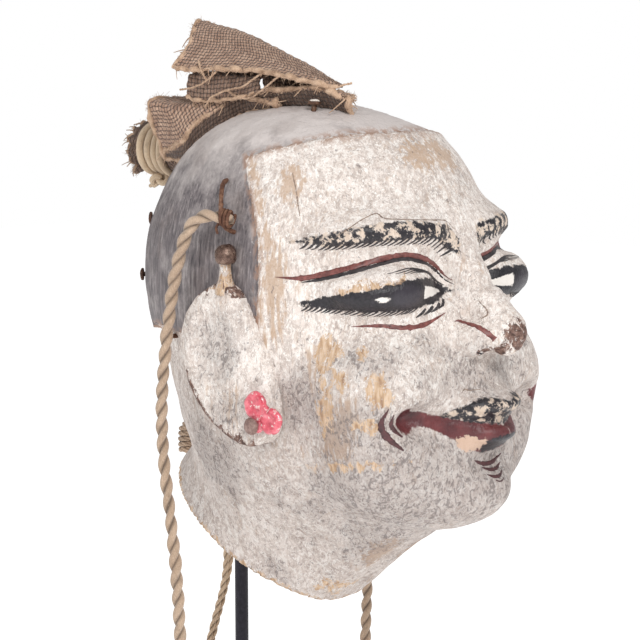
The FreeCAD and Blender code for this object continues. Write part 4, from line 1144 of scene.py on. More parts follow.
def make_knot(name, end, heading, size, strand, rng, turn):
    """Overhand knot drawn tight at a cord's end, with a short frayed tail."""
    builder = Builder()
    loop = trefoil(0.22, 60, 1.5)
    heading = unit(heading)
    side = unit(np.cross(heading, (math.cos(turn), math.sin(turn), 0.2)))
    other = np.cross(heading, side)
    scale = (size / 2 - strand * 0.8) / 3.0
    centre = end + heading * size * 0.25
    path = centre + scale * (loop[:, :1] * side + loop[:, 2:3] * 1.25 * heading + loop[:, 1:2] * other)
    lay_strands(builder, resample(path, 0.4), strand, 3, strand * 7, rng, sides=6)
    join_line = resample([end - heading * 1.0, end + heading * size * 0.2], 0.5)
    lay_strands(builder, join_line, strand, 3, strand * 7, rng, sides=6)
    for _ in range(14):
        lean = unit(heading + rng.normal(0, 0.28, 3))
        start = centre + heading * size * 0.25 + rng.normal(0, strand * 0.3, 3)
        tail = start + lean * np.linspace(0, size * rng.uniform(0.30, 0.5), 5)[:, None]
        tube(builder, tail, strand * 0.16, 4)
    return builder.object(name)


def make_rope(name, route, dia, material, node, rng, pitch):
    line = smooth_route(route, dia * 0.17)
    builder = Builder()
    lay_strands(builder, line, dia * 0.53, 2, pitch, rng, sides=10, slack=0.05)
    add_fuzz(builder, line, dia / 2, int(len(line) * 0.25), rng, length=dia * 0.5, radius=0.045)
    rope = builder.object(name)
    mark_hollows(rope, line, dia / 2)
    finish_piece(rope, "head", material, [node])


def make_ropes(rope, tail):
    rng = np.random.default_rng(5)
    for suffix, route in (("R", TEMPLE_ROUTE), ("L", FAR_ROUTE)):
        heading = np.subtract(route[-1], route[-2])
        turn = 1.0 if suffix == "R" else -1.0
        knot = make_knot(f"temple_knot_{suffix}", np.array(route[-1]), heading, 8.4, 1.75, rng, turn=turn)
        mark_plain(knot)
        finish_piece(knot, "head", rope, [f"cord_knot_{suffix}"])
        make_rope(f"temple_rope_{suffix}", route, TEMPLE_DIA, rope,
                  f"temple_cord_{suffix}", rng, pitch=12.6)
    for strand, route in NAPE_ROUTES.items():
        heading = np.subtract(route[-1], route[-2])
        knot = make_knot(f"nape_end_knot_{strand}", np.array(route[-1]), heading, 5.2, 1.0, rng, turn=1.0)
        mark_plain(knot)
        finish_piece(knot, "head", tail, [f"tail_knot_{strand}"])
        make_rope(f"nape_string_{strand}", route, TAIL_DIA, tail,
                  f"nape_tail_{strand}", rng, pitch=8.0)


def helix(centre, axis, radius, turns, pitch, step=0.35, start=0.0, swell=None):
    """Line that winds round an axis."""
    axis = unit(axis)
    side, other = cross_axes(axis)
    count = int(turns * 2 * math.pi * radius / step)
    t = np.linspace(0, 1, count)
    angle = start + t * turns * 2 * math.pi
    reach = radius if swell is None else radius * swell(t)
    reach = np.broadcast_to(reach, t.shape)[:, None]
    along = ((t - 0.5) * turns * pitch)[:, None]
    return centre + axis * along + reach * (np.cos(angle)[:, None] * side + np.sin(angle)[:, None] * other)


def make_nape_knot(material):
    """Wrapped knot under the nape staple, and the loop that hangs it there."""
    rng = np.random.default_rng(8)
    builder = Builder()
    centre = np.array([0.0, 26.2, 220.2])
    line = helix(centre, (0.08, 0, 1), 2.15, 5, 1.95, swell=lambda t: 1 + 0.18 * np.sin(math.pi * t))
    lay_strands(builder, line, 1.0, 3, 6.0, rng, sides=6)
    tube(builder, [centre + (0, 0, z) for z in (-5.4, -2, 2, 5.4)], 1.8, 8)
    loop = [(-0.9, 25.2, 225.0), (-1.3, 23.6, 227.2), (-0.9, 22.4, 229.3), (0.2, 22.9, 229.9),
            (1.2, 23.8, 228.6),
            (1.2, 24.8, 226.6), (0.6, 25.8, 225.0)]
    lay_strands(builder, smooth_route(loop, 0.35), 0.85, 3, 5.0, rng, sides=6)
    for x in (-1.1, 1.3):
        lay_strands(builder, resample([(x * 0.6, 25.8, 217.6), (x, 22.6, 213.8)], 0.35), 0.95, 3, 6.0, rng,
                    sides=6)
    knot = builder.object("nape_wrapped_knot")
    mark_plain(knot)
    finish_piece(knot, "head", material, ["nape_knot"])


# ================================================================ iron fittings
def rust_material(name, base, bright, rough=0.75, metal=0.55):
    look = Nodes(name, roughness=rough, Metallic=metal)
    grain = look.noise(0.8, detail=6, rough=0.7)
    color = look.ramp(look.math("MULTIPLY_ADD", look.noise(3.0, detail=3), 0.5, look.times(grain, 0.5)),
                      [(0.32, tuple(c * 0.35 for c in base)), (0.48, base), (0.60, bright),
                       (0.72, (0.36, 0.33, 0.30))])
    look.color(color)
    look.rough(look.remap(grain, 0.35, 0.7, rough - 0.25, rough + 0.15))
    look.bump(grain, 0.25, 0.8)
    return look.material


def lathe(builder, profile, base, axis, sides, lumps=0.0, seed=0.0):
    """Turned solid: profile is (radius, height) from foot to tip along an axis from base."""
    axis = unit(axis)
    side, other = cross_axes(axis)
    points, faces = [], []
    for radius, height in profile:
        for j in range(sides):
            a = 2 * math.pi * j / sides
            points.append(base + axis * height + radius * (math.cos(a) * side + math.sin(a) * other))
    count = len(profile)
    points = np.array(points)
    if lumps:
        points += lumps * noise_at(points, 2.2, seed=seed)[:,
                                                           None] * unit(points - (base + axis * profile[0][1]))
    for i in range(count - 1):
        for j in range(sides):
            k = (j + 1) % sides
            faces.append((i * sides + j, i * sides + k, (i + 1) * sides + k, (i + 1) * sides + j))
    points = np.concatenate([points, [base + axis * profile[0][1], base + axis * profile[-1][1]]])
    for j in range(sides):
        k = (j + 1) % sides
        faces.append((k, j, count * sides))
        faces.append(((count - 1) * sides + j, (count - 1) * sides + k, count * sides + 1))
    builder.add(points, faces)


def make_ear_nail(side, iron, ground):
    suffix = letter(side)
    builder = Builder()
    foot = np.array([side * 56.0, -45.0, 272.0])
    lathe(builder, [(1.1, 0), (1.15, 12), (1.2, 22.0)], foot, (0, 0, 1), 12)
    knob = [(1.3, 20.6), (2.7, 21.0), (3.4, 22.0), (3.5, 23.4), (3.3, 24.9), (2.6, 26.1), (1.3, 26.8),
            (0.1, 26.9)]
    lathe(builder, knob, foot, (side * 0.04, -0.03, 1), 20, lumps=0.42, seed=side)
    nail = builder.object(f"ear_top_nail_{suffix}")
    finish_piece(nail, "head", iron, [f"ear_nail_{suffix}"])
    builder = Builder()
    neck = [(3.2, -2.4), (3.2, -0.6), (2.7, 1.0), (2.1, 2.8), (1.85, 4.6), (1.75, 6.2), (1.95, 7.6),
            (1.8, 8.2)]
    lathe(builder, neck, np.array([side * 56.0, -44.6, 285.4]), (side * 0.05, -0.04, 1), 18, lumps=0.5,
          seed=3 + side)
    stub = builder.object(f"ear_stub_{suffix}")
    count = len(stub.data.vertices)
    masks = unpainted(count) | {"scrape": np.full(count, OFF), "bare": np.full(count, 0.2),
                                "wood": np.full(count, -1.6), "dirt_and_shade": np.ones(count)}
    set_attributes(stub, masks)
    finish_piece(stub, "head", ground)


def bent_wire(corners, step=0.35):
    """Smooth line through a few corners."""
    return resample(catmull_even(corners, np.linspace(0, 1, 24 * len(corners))), step)


def make_staples(iron):
    rng = np.random.default_rng(21)
    for side in (-1, 1):
        suffix = letter(side)
        builder = Builder()
        y = -44.6
        loop = [(side * 44, y + 8.6, 318.4), (side * 50.5, y + 5.4, 317.6), (side * 54.8, y + 2.4, 314.8),
                (side * 57.3, y + 0.4, 310.8), (side * 58.0, y, 307.8), (side * 57.4, y, 305.6),
                (side * 55.0, y, 303.6),
                (side * 51.0, y, 302.2), (side * 44, y, 301.6)]
        line = bent_wire(loop)
        tube(builder, line, 0.72 * (1 + 0.10 * rng.normal(0, 1, len(line))), 8)
        staple = builder.object(f"temple_wire_staple_{suffix}")
        finish_piece(staple, "head", iron, [f"temple_staple_{suffix}"])
        builder = Builder()
        start, after = np.array(TEMPLE_ROUTE[0]), np.array(TEMPLE_ROUTE[1])
        heading = unit(after - start)
        start, heading = start * (-side, 1, 1), heading * (-side, 1, 1)
        line = helix(start + heading * 1.9, heading, 2.42, 3.4, 1.15, start=side)
        line = line + rng.normal(0, 0.07, line.shape)
        tube(builder, smooth_rows(line), 0.55, 7)
        tail = bent_wire([line[-1], line[-1] + (side * 0.4, 0.6, -1.4), line[-1] + (side * 0.9, -0.4, -3.0)])
        tube(builder, tail, 0.42, 6)
        binding = builder.object(f"temple_wire_binding_{suffix}")
        finish_piece(binding, "head", iron, [f"temple_binding_{suffix}"])
    builder = Builder()
    loop = [(-2.1, 5.0, 228), (-2.1, 16.0, 228), (-2.1, 20.8, 228), (-1.5, 22.0, 228), (0, 22.1, 228),
            (1.5, 22.0, 228),
            (2.1, 20.8, 228), (2.1, 16.0, 228), (2.1, 5.0, 228)]
    line = bent_wire(loop)
    tube(builder, line, 0.8 * (1 + 0.10 * rng.normal(0, 1, len(line))), 8)
    staple = builder.object("nape_wire_staple")
    finish_piece(staple, "head", iron, ["nape_staple"])


def nail(builder, point, outward, seed, stand, dome):
    foot = np.array(point, float)
    outward = unit(outward)
    lathe(builder, [(0.8, -6.0), (0.8, 0), (0.85, stand)], foot, outward, 10)
    head = [(1.0, stand - 0.1), (2.0, stand), (2.15, stand + 0.35), (2.1, stand + 0.8),
            (1.6, stand + 0.9 + dome * 0.5),
            (0.8, stand + 1.0 + dome * 0.8), (0.1, stand + 1.0 + dome)]
    lathe(builder, head, foot, outward, 14, lumps=0.22, seed=seed)


def skull_outward(x, y, front, back, half):
    """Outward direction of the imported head's level oval at a point."""
    reach = (front + back) / 2
    middle = (back - front) / 2 + HEAD_Y
    return unit((x / half ** 2, (y - middle) / reach ** 2, 0))


NAIL_Y = 12, 16, 13          # how far back the nails behind the crown stand


def make_nails(iron):
    builder = Builder()
    for index, (spot, stand) in enumerate([((-19.0, -50.0, 338.6), 3.4), ((19.0, -46.0, 335.4), 1.0)]):
        nail(builder, spot, (0.05, -0.06, 1), index + 1.0, stand=stand, dome=0.4)
    nails = builder.object("crown_nails")
    finish_piece(nails, "head", iron, ["cloth_nails"])
    builder = Builder()
    lathe(builder, [(1.5, 4.2), (1.75, 4.5), (1.5, 4.85), (0.8, 5.05), (0.1, 5.1)],
          np.array([-19.0, -50.0, 338.6]),
          (0.05, -0.06, 1), 16, lumps=0.2, seed=2.5)
    cap = builder.object("crown_nail_chalk")
    chalk = plain_material("chalk_dab", (0.62, 0.54, 0.48), (0.86, 0.80, 0.74), 0.8, 0.8)
    finish_piece(cap, "head", chalk)
    builder = Builder()
    spots = [(-30.5, NAIL_Y[0], 303.0, 51.0, 61.0, 50.5), (-31.0, NAIL_Y[1], 283.5, 56.0, 68.0, 54.0),
             (30.0, NAIL_Y[2], 302.0, 51.0, 61.0, 50.5), (-48.2, -12.0, 266.0, 60.0, 68.0, 54.5)]
    for index, (x, y, z, front, back, half) in enumerate(spots):
        outward = skull_outward(x, y, front, back, half)
        nail(builder, np.array([x, y, z]), outward, index + 5.0, stand=0.3, dome=0.3)
    nails = builder.object("rear_nails")
    finish_piece(nails, "head", iron, ["back_nails"])


# ================================================================ earrings
FLOWER_Y, FLOWER_Z = -60.8, 243.6      # the pin that each earring swings on


def make_flower(side, pink, iron):
    """Two glossy lacquered petals, each a dished oval, over a small foot round the pin."""
    suffix = letter(side)
    builder = Builder()
    x0, thick = 59.35, 2.0
    petals = [(0.2, 0.4, 3.0, 0.0), (2.9, 4.0, 3.4, 0.05), (-0.3, 6.3, 4.4, 0.15), (6.3, 1.9, 4.2, 0.25)]
    for forward, upward, radius, dish in petals:
        rings, sides = 7, 36
        points, faces = [], []
        for layer in (0, 1):
            for i in range(rings + 1):
                share = i / rings
                for j in range(sides):
                    a = 2 * math.pi * j / sides
                    reach = radius * share * (1 + 0.05 * math.sin(2 * a + forward) + 0.03 * math.sin(5 * a))
                    rise = thick * (1 - 0.55 * share ** 4) if layer else thick * 0.25 * share ** 3
                    if layer:
                        rise += 0.35 * math.exp(
                                                -((share - 0.78)
                                                  / 0.12) ** 2) - 0.45 * math.exp(-(share / 0.4) ** 2)
                        rise += 0.10 * math.sin(9 * a) * share
                    points.append((min(max(rise, 0.0), thick + 0.25) + dish * layer,
                                   FLOWER_Y - forward - reach * math.cos(a),
                                   FLOWER_Z + upward + reach * math.sin(a)))
        block = (rings + 1) * sides
        for layer in (0, 1):
            for i in range(rings):
                for j in range(sides):
                    k = (j + 1) % sides
                    quad = [layer * block + i * sides + j, layer * block + i * sides + k,
                            layer * block + (i + 1) * sides + k, layer * block + (i + 1) * sides + j]
                    faces.append(quad if layer else quad[::-1])
        for j in range(sides):
            k = (j + 1) % sides
            a, b = rings * sides + j, rings * sides + k
            faces.append([a, b, block + b, block + a][::-1])
        points = np.array(points)
        points[:, 0] = side * (x0 + points[:, 0])
        if side < 0:
            faces = [face[::-1] for face in faces]
        builder.add(points, faces)
    flower = builder.object(f"flower_earring_{suffix}")
    finish_piece(flower, f"earring_{suffix}", pink, [f"ear_flower_{suffix}"])
    builder = Builder()
    out = (side, 0, 0)
    pin = [(0.9, 0), (0.95, 8.0), (0.95, 8.7), (2.3, 8.8), (2.7, 9.3), (2.65, 9.9), (2.0, 10.4), (0.9, 10.6),
           (0.1, 10.65)]
    lathe(builder, pin, np.array([side * 53.0, FLOWER_Y, FLOWER_Z]), out, 18, lumps=0.25, seed=side * 2.0)
    pin = builder.object(f"earring_pin_{suffix}")
    finish_piece(pin, "head", iron, [f"earring_nail_{suffix}"])


# ================================================================ topknot: lashing and cloth
WEAVE_PITCH = 1.5
SHEET_STEP, SHEET_THICK = 0.5, 1.0
STUB_TILT = math.radians(3.0)


def stub_point(y):
    return np.array([0.0, y, 324.5 + (y - 25.0) * math.tan(STUB_TILT)])


def make_lashing(material):
    """Four fat turns of soft cord round the gathered cloth, tied off underneath."""
    rng = np.random.default_rng(31)
    builder = Builder()
    axis = np.array([0, math.cos(STUB_TILT), math.sin(STUB_TILT)])
    middle = stub_point(35.2)
    line = helix(middle, axis, 8.1, 4.3, 3.3, step=0.5, start=-1.2, swell=lambda t: 1 + 0.05 * np.sin(9 * t))
    lumps = 1 + np.interp(np.arange(len(line)), np.linspace(0, len(line), 60), rng.normal(0, 0.07, 60))
    tube(builder, line, 1.42 * lumps, 10)
    low = middle + (-3, 0, -10.6)
    loop = trefoil(0.2, 50, 1.4)
    tube(builder, resample(low + loop * (0.9, 1.2, 0.9), 0.5), 1.1, 8)
    for index in range(3):
        start = low + (rng.uniform(-1, 1), rng.uniform(-2, 3), -0.8)
        tube(builder, bent_wire([start, start + (-0.6, 1.2, -1.0), start + (-0.4, 2.0 + index, -1.8)]), 0.7,
             7)
    add_fuzz(builder, line, 1.3, 160, rng, length=1.3, radius=0.06)
    lashing = builder.object("lashing_turns")
    mark_plain(lashing)
    finish_piece(lashing, "head", material, ["topknot_lashing"])


def cloth_material(name):
    """Coarse plain weave, from the cloth's own warp and weft lengths in mm."""
    look = Nodes(name, roughness=0.95, Sheen_Weight=0.12, Sheen_Roughness=0.5)
    pitch = WEAVE_PITCH
    u = look.times(look.attribute("weave_u"), math.pi / pitch)
    v = look.times(look.attribute("weave_v"), math.pi / pitch)
    over = look.times(look.math("COSINE", u), look.math("COSINE", v))
    warp = look.math("ABSOLUTE", look.math("COSINE", u))
    weft = look.math("ABSOLUTE", look.math("COSINE", v))
    chooser = look.remap(over, -0.12, 0.12)
    height = look.math("ADD", look.times(chooser, look.times(warp, look.remap(weft, 0, 1, 0.55, 1))),
                       look.times(look.math("SUBTRACT", 1.0, chooser),
                                 look.times(weft, look.remap(warp, 0, 1, 0.55, 1))))
    strands = look.noise(0.35, detail=4, rough=0.7)
    slub = look.noise(3.0, detail=3)
    tone = look.math("MULTIPLY_ADD", strands, 0.5, look.times(slub, 0.5))
    color = look.ramp(tone, [(0.34, (0.21, 0.120, 0.083)), (0.48, (0.44, 0.275, 0.195)),
                             (0.60, (0.60, 0.41, 0.300)),
                             (0.74, (0.74, 0.55, 0.420))])
    # painted shade in the gaps between the yarns
    gap = look.remap(height, 0.58, 0.22)
    color = look.mix(look.times(gap, 0.86), color, (0.045, 0.026, 0.019))
    dust = look.times(look.remap(look.noise(11.0, detail=3), 0.55, 0.72), 0.30)
    color = look.mix(dust, color, (0.16, 0.10, 0.080))
    yarn = look.ramp(tone, [(0.36, (0.26, 0.155, 0.10)), (0.50, (0.50, 0.335, 0.225)),
                            (0.66, (0.68, 0.49, 0.35))])
    color = look.mix(look.remap(look.attribute("yarn"), 0.0, 1.0), color, yarn)
    # painted shade: this attribute darkens cloth that lies in shadow, under folds and edges and on the
    # gathered tail
    look.color(look.mix(look.times(look.attribute("painted_shade"), 0.80), color, (0.055, 0.034, 0.027)))
    look.bump(look.math("MULTIPLY_ADD", strands, 0.25, height), 0.5, 1.0)
    return look.material


def lofted(rows, across, along):
    """Grid of mm points on the smooth surface through rows of stations."""
    grid = catmull_even(np.array(rows, float).transpose(1, 0, 2), along)
    return catmull_even(grid.transpose(1, 0, 2), across)


def woven_sheet(name, rows, size, ripple, painted_shade):
    """Closed thin sheet through rows of stations; size is (across the rows, along them) in mm."""
    nu, nv = int(size[0] / SHEET_STEP) + 1, int(size[1] / SHEET_STEP) + 1
    middle = lofted(rows, np.linspace(0, 1, nu), np.linspace(0, 1, nv))
    du, dv = np.gradient(middle, axis=0), np.gradient(middle, axis=1)
    normal = unit(np.cross(du, dv))
    flat = middle.reshape(-1, 3)
    waves = noise_at(flat, 9.0, seed=len(name) * 1.7) + 0.5 * noise_at(flat, 4.0, seed=len(name))
    middle = middle + normal * (ripple * waves.reshape(nu, nv))[..., None]
    along_u = np.cumsum(np.linalg.norm(np.diff(middle, axis=0, prepend=middle[:1]), axis=-1), axis=0)
    along_v = np.cumsum(np.linalg.norm(np.diff(middle, axis=1, prepend=middle[:, :1]), axis=-1), axis=1)
    weave = 0.20 * np.cos(math.pi * along_u / WEAVE_PITCH) * np.cos(math.pi * along_v / WEAVE_PITCH)
    u, v = np.meshgrid(np.linspace(0, 1, nu), np.linspace(0, 1, nv), indexing="ij")
    ragged = 0.6 * noise_at(flat, 2.2, seed=len(name)).reshape(nu, nv)[..., None]
    border = np.minimum(np.minimum(u, 1 - u) * size[0], np.minimum(v, 1 - v) * size[1])
    pull = np.clip(1 - border / 1.5, 0, 1)[..., None]
    middle = middle + pull * ragged * (unit(du) * 0.8 + unit(dv) * 0.8)
    half = SHEET_THICK / 2 * (1 - 0.35 * pull[..., 0])
    top = middle + normal * (half + weave)[..., None]
    bottom = middle - normal * (half - weave)[..., None]
    count = nu * nv
    index = np.arange(count).reshape(nu, nv)
    a, b, c, d = index[:-1, :-1], index[1:, :-1], index[1:, 1:], index[:-1, 1:]
    quads = np.stack([a, b, c, d], -1).reshape(-1, 4)
    faces = np.concatenate([quads, quads[:, ::-1] + count]).tolist()
    ring = list(index[:, 0]) + list(index[-1, 1:]) + list(index[-2::-1, -1]) + list(index[0, -2:0:-1])
    for first, second in zip(ring, ring[1:] + ring[:1]):
        faces.append([second, first, first + count, second + count])
    points = np.concatenate([top.reshape(-1, 3), bottom.reshape(-1, 3)])
    sheet = mesh_object(name, points, faces)
    # painted shade for each point of the sheet
    dark = np.zeros((nu, nv)) if painted_shade is None else painted_shade(middle)
    set_attributes(sheet, {"weave_u": np.tile(along_u.ravel(), 2), "weave_v": np.tile(along_v.ravel(), 2),
                           "painted_shade": np.tile(dark.ravel(), 2)})
    edges = {"u0": middle[0], "u1": middle[-1], "v0": middle[:, 0], "v1": middle[:, -1]}
    outward = {"u0": -unit(du[0]), "u1": unit(du[-1]), "v0": -unit(dv[:, 0]), "v1": unit(dv[:, -1])}
    return sheet, edges, outward


def selvage(builder, line, outward, rng, radius, ends):
    """Thick soft roll along a frayed edge, with short fuzz and a few longer yarn ends."""
    run = resample(line, 0.45)
    wander = np.interp(np.arange(len(run)), np.linspace(0, len(run), max(len(run) // 4, 4)),
                       rng.normal(0, 1, max(len(run) // 4, 4)))
    lumps = 1 + 0.24 * wander
    _, normal, binormal = frames_along(run)
    run = run + normal * (0.25 * wander)[:, None] + binormal * (0.25 * np.roll(wander, 7))[:, None]
    tube(builder, run, radius * lumps, 8)
    add_fuzz(builder, run, radius, int(len(run) * 1.5), rng, length=1.5, radius=0.10)
    add_fuzz(builder, run, radius * 0.9, int(len(run) * 0.6), rng, length=2.4, radius=0.07)
    gaps = np.linalg.norm(np.diff(line, axis=0), axis=1).sum()
    for index in rng.integers(0, len(line), int(gaps / ends)):
        reach = rng.uniform(1.2, 3.6)
        droop = np.array([0, 0, -1.0]) * reach * rng.uniform(0.0, 0.7)
        sway = rng.normal(0, 0.4, 3) * reach
        t = np.linspace(0, 1, 6)[:, None]
        path = line[index] + outward[index] * reach * t + (droop + sway) * t ** 2
        tube(builder, path, 0.28 * (1.15 - 0.6 * t[:, 0]) * rng.uniform(0.6, 1.1), 4)


def mirror_rows(rows):
    """Rows from one edge to the middle, then the same to the far edge."""
    return rows + [[(-x, y, z) for x, y, z in row] for row in rows[-2::-1]]


FOLD_ROWS = [      # folded wedge: near free edge, near panel, ridge, far panel, far free edge
    [(-21.5, 10.0, 354.0), (-21.5, -3.5, 353.2), (-21.0, -17, 353.6), (-20.5, -31, 352.4),
     (-19.3, -45.5, 349.9), (-16.5, -58, 347.4)],
    [(-13.5, 10.5, 361.5), (-13.4, -1.5, 360.6), (-14.0, -16.5, 358.2), (-15, -31.5, 355.0),
     (-15.8, -46, 351.4), (-15.6, -58.4, 347.6)],
    [(0, 17.4, 370.3), (-2.5, 1.0, 367.2), (-5.5, -16.5, 362.3), (-8.5, -32, 357.0), (-11.5, -46.5, 352.0),
     (-14.5, -58.6, 347.6)],
    [(13.5, 12.0, 361.0), (11.0, 0.0, 360.3), (8.0, -14, 357.5), (4.0, -27, 354.5), (-1.0, -39.5, 351.0),
     (-7.0, -50, 348.4)],
    [(21.0, 11.0, 354.0), (19.0, -1.0, 353.4), (15.5, -13, 353.0), (10.5, -25, 352.0), (4.0, -35.5, 350.4),
     (-3.0, -45, 348.8)],
]
UNDER_ROWS = mirror_rows([      # second layer: its near side hangs as a short wall
    [(-19.8, 5.6, 344.0), (-20.0, -1.5, 343.2), (-19.8, -9.0, 343.2), (-19.4, -17.5, 344.0),
     (-18.6, -26.5, 346.0)],
    [(-19.6, 5.4, 348.8), (-19.6, -1.5, 348.4), (-19.4, -9.0, 348.4), (-19.0, -17.5, 348.6),
     (-18.0, -26.0, 349.4)],
    [(-17.0, 5.2, 352.0), (-17.0, -1.5, 351.8), (-16.8, -9.0, 351.6), (-16.4, -17.5, 351.4),
     (-15.6, -25.8, 350.8)],
    [(0, 5.0, 352.4), (0, -1.5, 352.2), (0, -9.5, 352.0), (0, -17.5, 351.6), (0, -25.0, 350.4)],
])
FLAT_ROWS = [      # flat layer on the crown: hem turned under (a dark row that stands for the shade under the near edge), near edge lifted, front edge slanting back
    [(-13.0, -20, 339.6), (-13.2, -30.5, 340.8), (-13.2, -41, 341.2), (-12.8, -51.5, 340.2),
     (-11.6, -60.0, 338.6)],
    [(-17.0, -20, 345.2), (-17.4, -30.5, 346.6), (-17.2, -41, 347.2), (-16.8, -52, 347.0),
     (-15.2, -61.6, 343.8)],
    [(-10.0, -19, 344.6), (-10.0, -29.5, 345.0), (-10.0, -39.5, 345.2), (-10.0, -49, 345.0),
     (-10.0, -57.8, 343.4)],
    [(2.0, -18, 345.2), (2.0, -27, 345.6), (2.0, -35, 345.6), (2.0, -42.5, 345.4), (2.0, -49.5, 344.2)],
    [(15.0, -18, 344.6), (14.5, -25, 345.4), (13.5, -31, 345.8), (12.0, -36.5, 345.6), (10.0, -42, 344.2)],
]
# hood from the crown over the root of the stub: hem turned under (darkened as painted shade under the free
# edge), free edge, wall, corner, middle
HOOD_ROWS = mirror_rows([
    [(-15.0, -32.5, 341.2), (-15.0, -22, 339.8), (-15.0, -14.7, 337.8), (-16.2, -8.7, 335.2),
     (-17.2, -2.7, 331.8),
     (-17.8, 3.2, 327.6), (-17.2, 8.8, 322.6), (-9.5, 25.6, 322.6)],
    [(-18.0, -32.7, 342.0), (-17.5, -22, 343.4), (-17.0, -14.9, 345.4), (-18.2, -9.0, 341.0),
     (-19.6, -3.0, 337.8),
     (-20.4, 3.0, 333.4), (-20.0, 8.5, 328.4), (-11.5, 25.0, 324.8)],
    [(-16.0, -32, 343.4), (-16.0, -21, 344.8), (-16.2, -13.5, 345.8), (-17.2, -7.5, 343.2),
     (-18.6, -1.0, 341.2),
     (-19.4, 5.0, 338.4), (-19.2, 12.0, 335.8), (-15.8, 25.4, 334.6)],
    [(-12.0, -31, 344.6), (-12.5, -20, 345.4), (-13.0, -12, 345.8), (-14.5, -5, 344.8), (-16.0, 1.0, 343.4),
     (-17.4, 8.0, 342.0), (-18.0, 16.0, 341.6), (-18.4, 24.2, 342.8)],
    [(0, -30, 345.4), (0, -19, 345.8), (0, -10, 345.8), (0, -3, 345.2), (0, 3, 344.4), (0, 10, 343.6),
     (0, 17, 343.4),
     (0, 24, 343.8)],
])
LOOSE_YARNS = [
    [(-21.5, -30.1, 352.1), (-21.6, -19.9, 347.2), (-21.8, -9.0, 344.5), (-22.6, -5.3, 340.8)],
    [(-21.0, -37.9, 351.6), (-20.8, -29.2, 346.6), (-20.9, -22.5, 344.2), (-20.9, -13.6, 346.5)],
    [(-22.2, -10.0, 352.5), (-22.6, -5.9, 349.2), (-22.2, 1.1, 347.2), (-21.8, 7.0, 346.6)],
    [(-21.0, -1.3, 356.2), (-22.7, -4.5, 352.5), (-22.6, -6.3, 349.6)],
    [(-16.0, -57.8, 347.6), (-15.6, -60.4, 348.6), (-15.2, -62.8, 348.8)],
]


def flare_rows():
    """Gathered tail of the cloth: a collar under the lashing that opens in short pleats behind it."""
    rows = []
    for k in range(25):
        angle = -2.85 + 5.7 * k / 24
        row = []
        for y, radius in ((22.0, 8.8), (27.0, 7.4), (33.0, 6.9), (38.5, 7.0), (42.5, 7.9), (45.2, 8.9)):
            pleat = 1 + smoothstep(39.5, 45.2, y) * (0.09 * (1 if k % 2 else -1) + 0.07 * math.sin(k * 1.7))
            middle = stub_point(y)
            row.append((radius * pleat * math.sin(angle), y + 1.1 * math.sin(k * 2.1) * smoothstep(41, 45, y),
                        middle[2] + radius * pleat * math.cos(angle)))
        rows.append(row)
    return rows


def hem_shade(points, share, both):
    """Painted shade on a turned-under hem that takes up this share of the sheet at its near (or each) edge:
    the dark hem stands for the shadow under that edge.
    """
    u = np.linspace(0, 1, points.shape[0])
    if both:
        u = np.minimum(u, 1 - u)
    return np.repeat((0.95 * smoothstep(share, share * 0.75, u))[:, None], points.shape[1], axis=1)


def add_cloth(name, rows, size, replaced, material, rng, sides, radius=0.85, ends=6.0,
              ripple=0.5, extra=(), painted_shade=None, rolls=()):
    sheet, edges, outward = woven_sheet(name, rows, size, ripple, painted_shade)
    finish_piece(sheet, "head", material, replaced)
    builder = Builder()
    for side in sides:
        selvage(builder, edges[side], outward[side], rng, radius, ends)
    for roll in rolls:
        line = bent_wire(roll, 0.5)
        down = np.tile(unit((math.copysign(0.8, roll[0][0]), 0.0, -0.6)), (len(line), 1))
        selvage(builder, line, down, rng, radius, ends)
    for yarn in extra:
        line = bent_wire(yarn, 0.5)
        line = line + np.cumsum(rng.normal(0, 0.10, line.shape),
                                axis=0) * np.sin(np.linspace(0, math.pi, len(line)))[:, None]
        lay_strands(builder, smooth_rows(line, 2), 0.42, 2, 3.0, rng, sides=5)
    frayed = builder.object(name + "_frayed")
    count = len(frayed.data.vertices)
    # the frayed edges of the gathered tail get painted shade
    set_attributes(frayed, {"weave_u": np.zeros(count), "weave_v": np.zeros(count), "yarn": np.ones(count),
                            "painted_shade": np.full(count, 0.45 if name == "cloth_gathered_tail" else 0.0)})
    finish_piece(frayed, "head", material)


def make_cloths(material):
    rng = np.random.default_rng(41)
    add_cloth("cloth_fold", FOLD_ROWS, (46.0, 72.0), ["cloth_upper"], material, rng, ("u0", "u1", "v0"),
              extra=LOOSE_YARNS, ripple=0.35)
    # the under layer's hanging side walls get painted shade
    add_cloth("cloth_under", UNDER_ROWS, (52.0, 33.0), [], material, rng, ("u0", "u1"), radius=0.6,
              painted_shade=lambda p: 0.55 * smoothstep(-10, -18, -np.abs(p[..., 0])))
    # the flat layer's turned-under hem is darkened as painted shade under its near edge
    add_cloth("cloth_flat", FLAT_ROWS, (38.0, 38.0), ["cloth_middle"], material, rng, ("u1", "v1"),
              radius=0.8, rolls=(FLAT_ROWS[1],), painted_shade=lambda p: hem_shade(p, 0.25, both=False))
    # the hood's turned-under hems are darkened as painted shade under its edges
    add_cloth("cloth_hood", HOOD_ROWS, (74.0, 64.0), ["cloth_lower"], material, rng, ("u0", "u1", "v0", "v1"),
              radius=0.95, ends=9.0, ripple=0.6, rolls=(HOOD_ROWS[1], HOOD_ROWS[-2]),
              painted_shade=lambda p: hem_shade(p, 0.125, both=True))
    # the gathered tail is darkened all over as painted shade, for its shadow side
    add_cloth("cloth_gathered_tail", flare_rows(), (52.0, 24.0), [], material, rng, ("v1",),
              radius=0.5,
              ends=2.6, painted_shade=lambda p: np.full(p.shape[:2], 0.85))


# ================================================================ stand
def assign(node, material):
    paint(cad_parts[node], material)


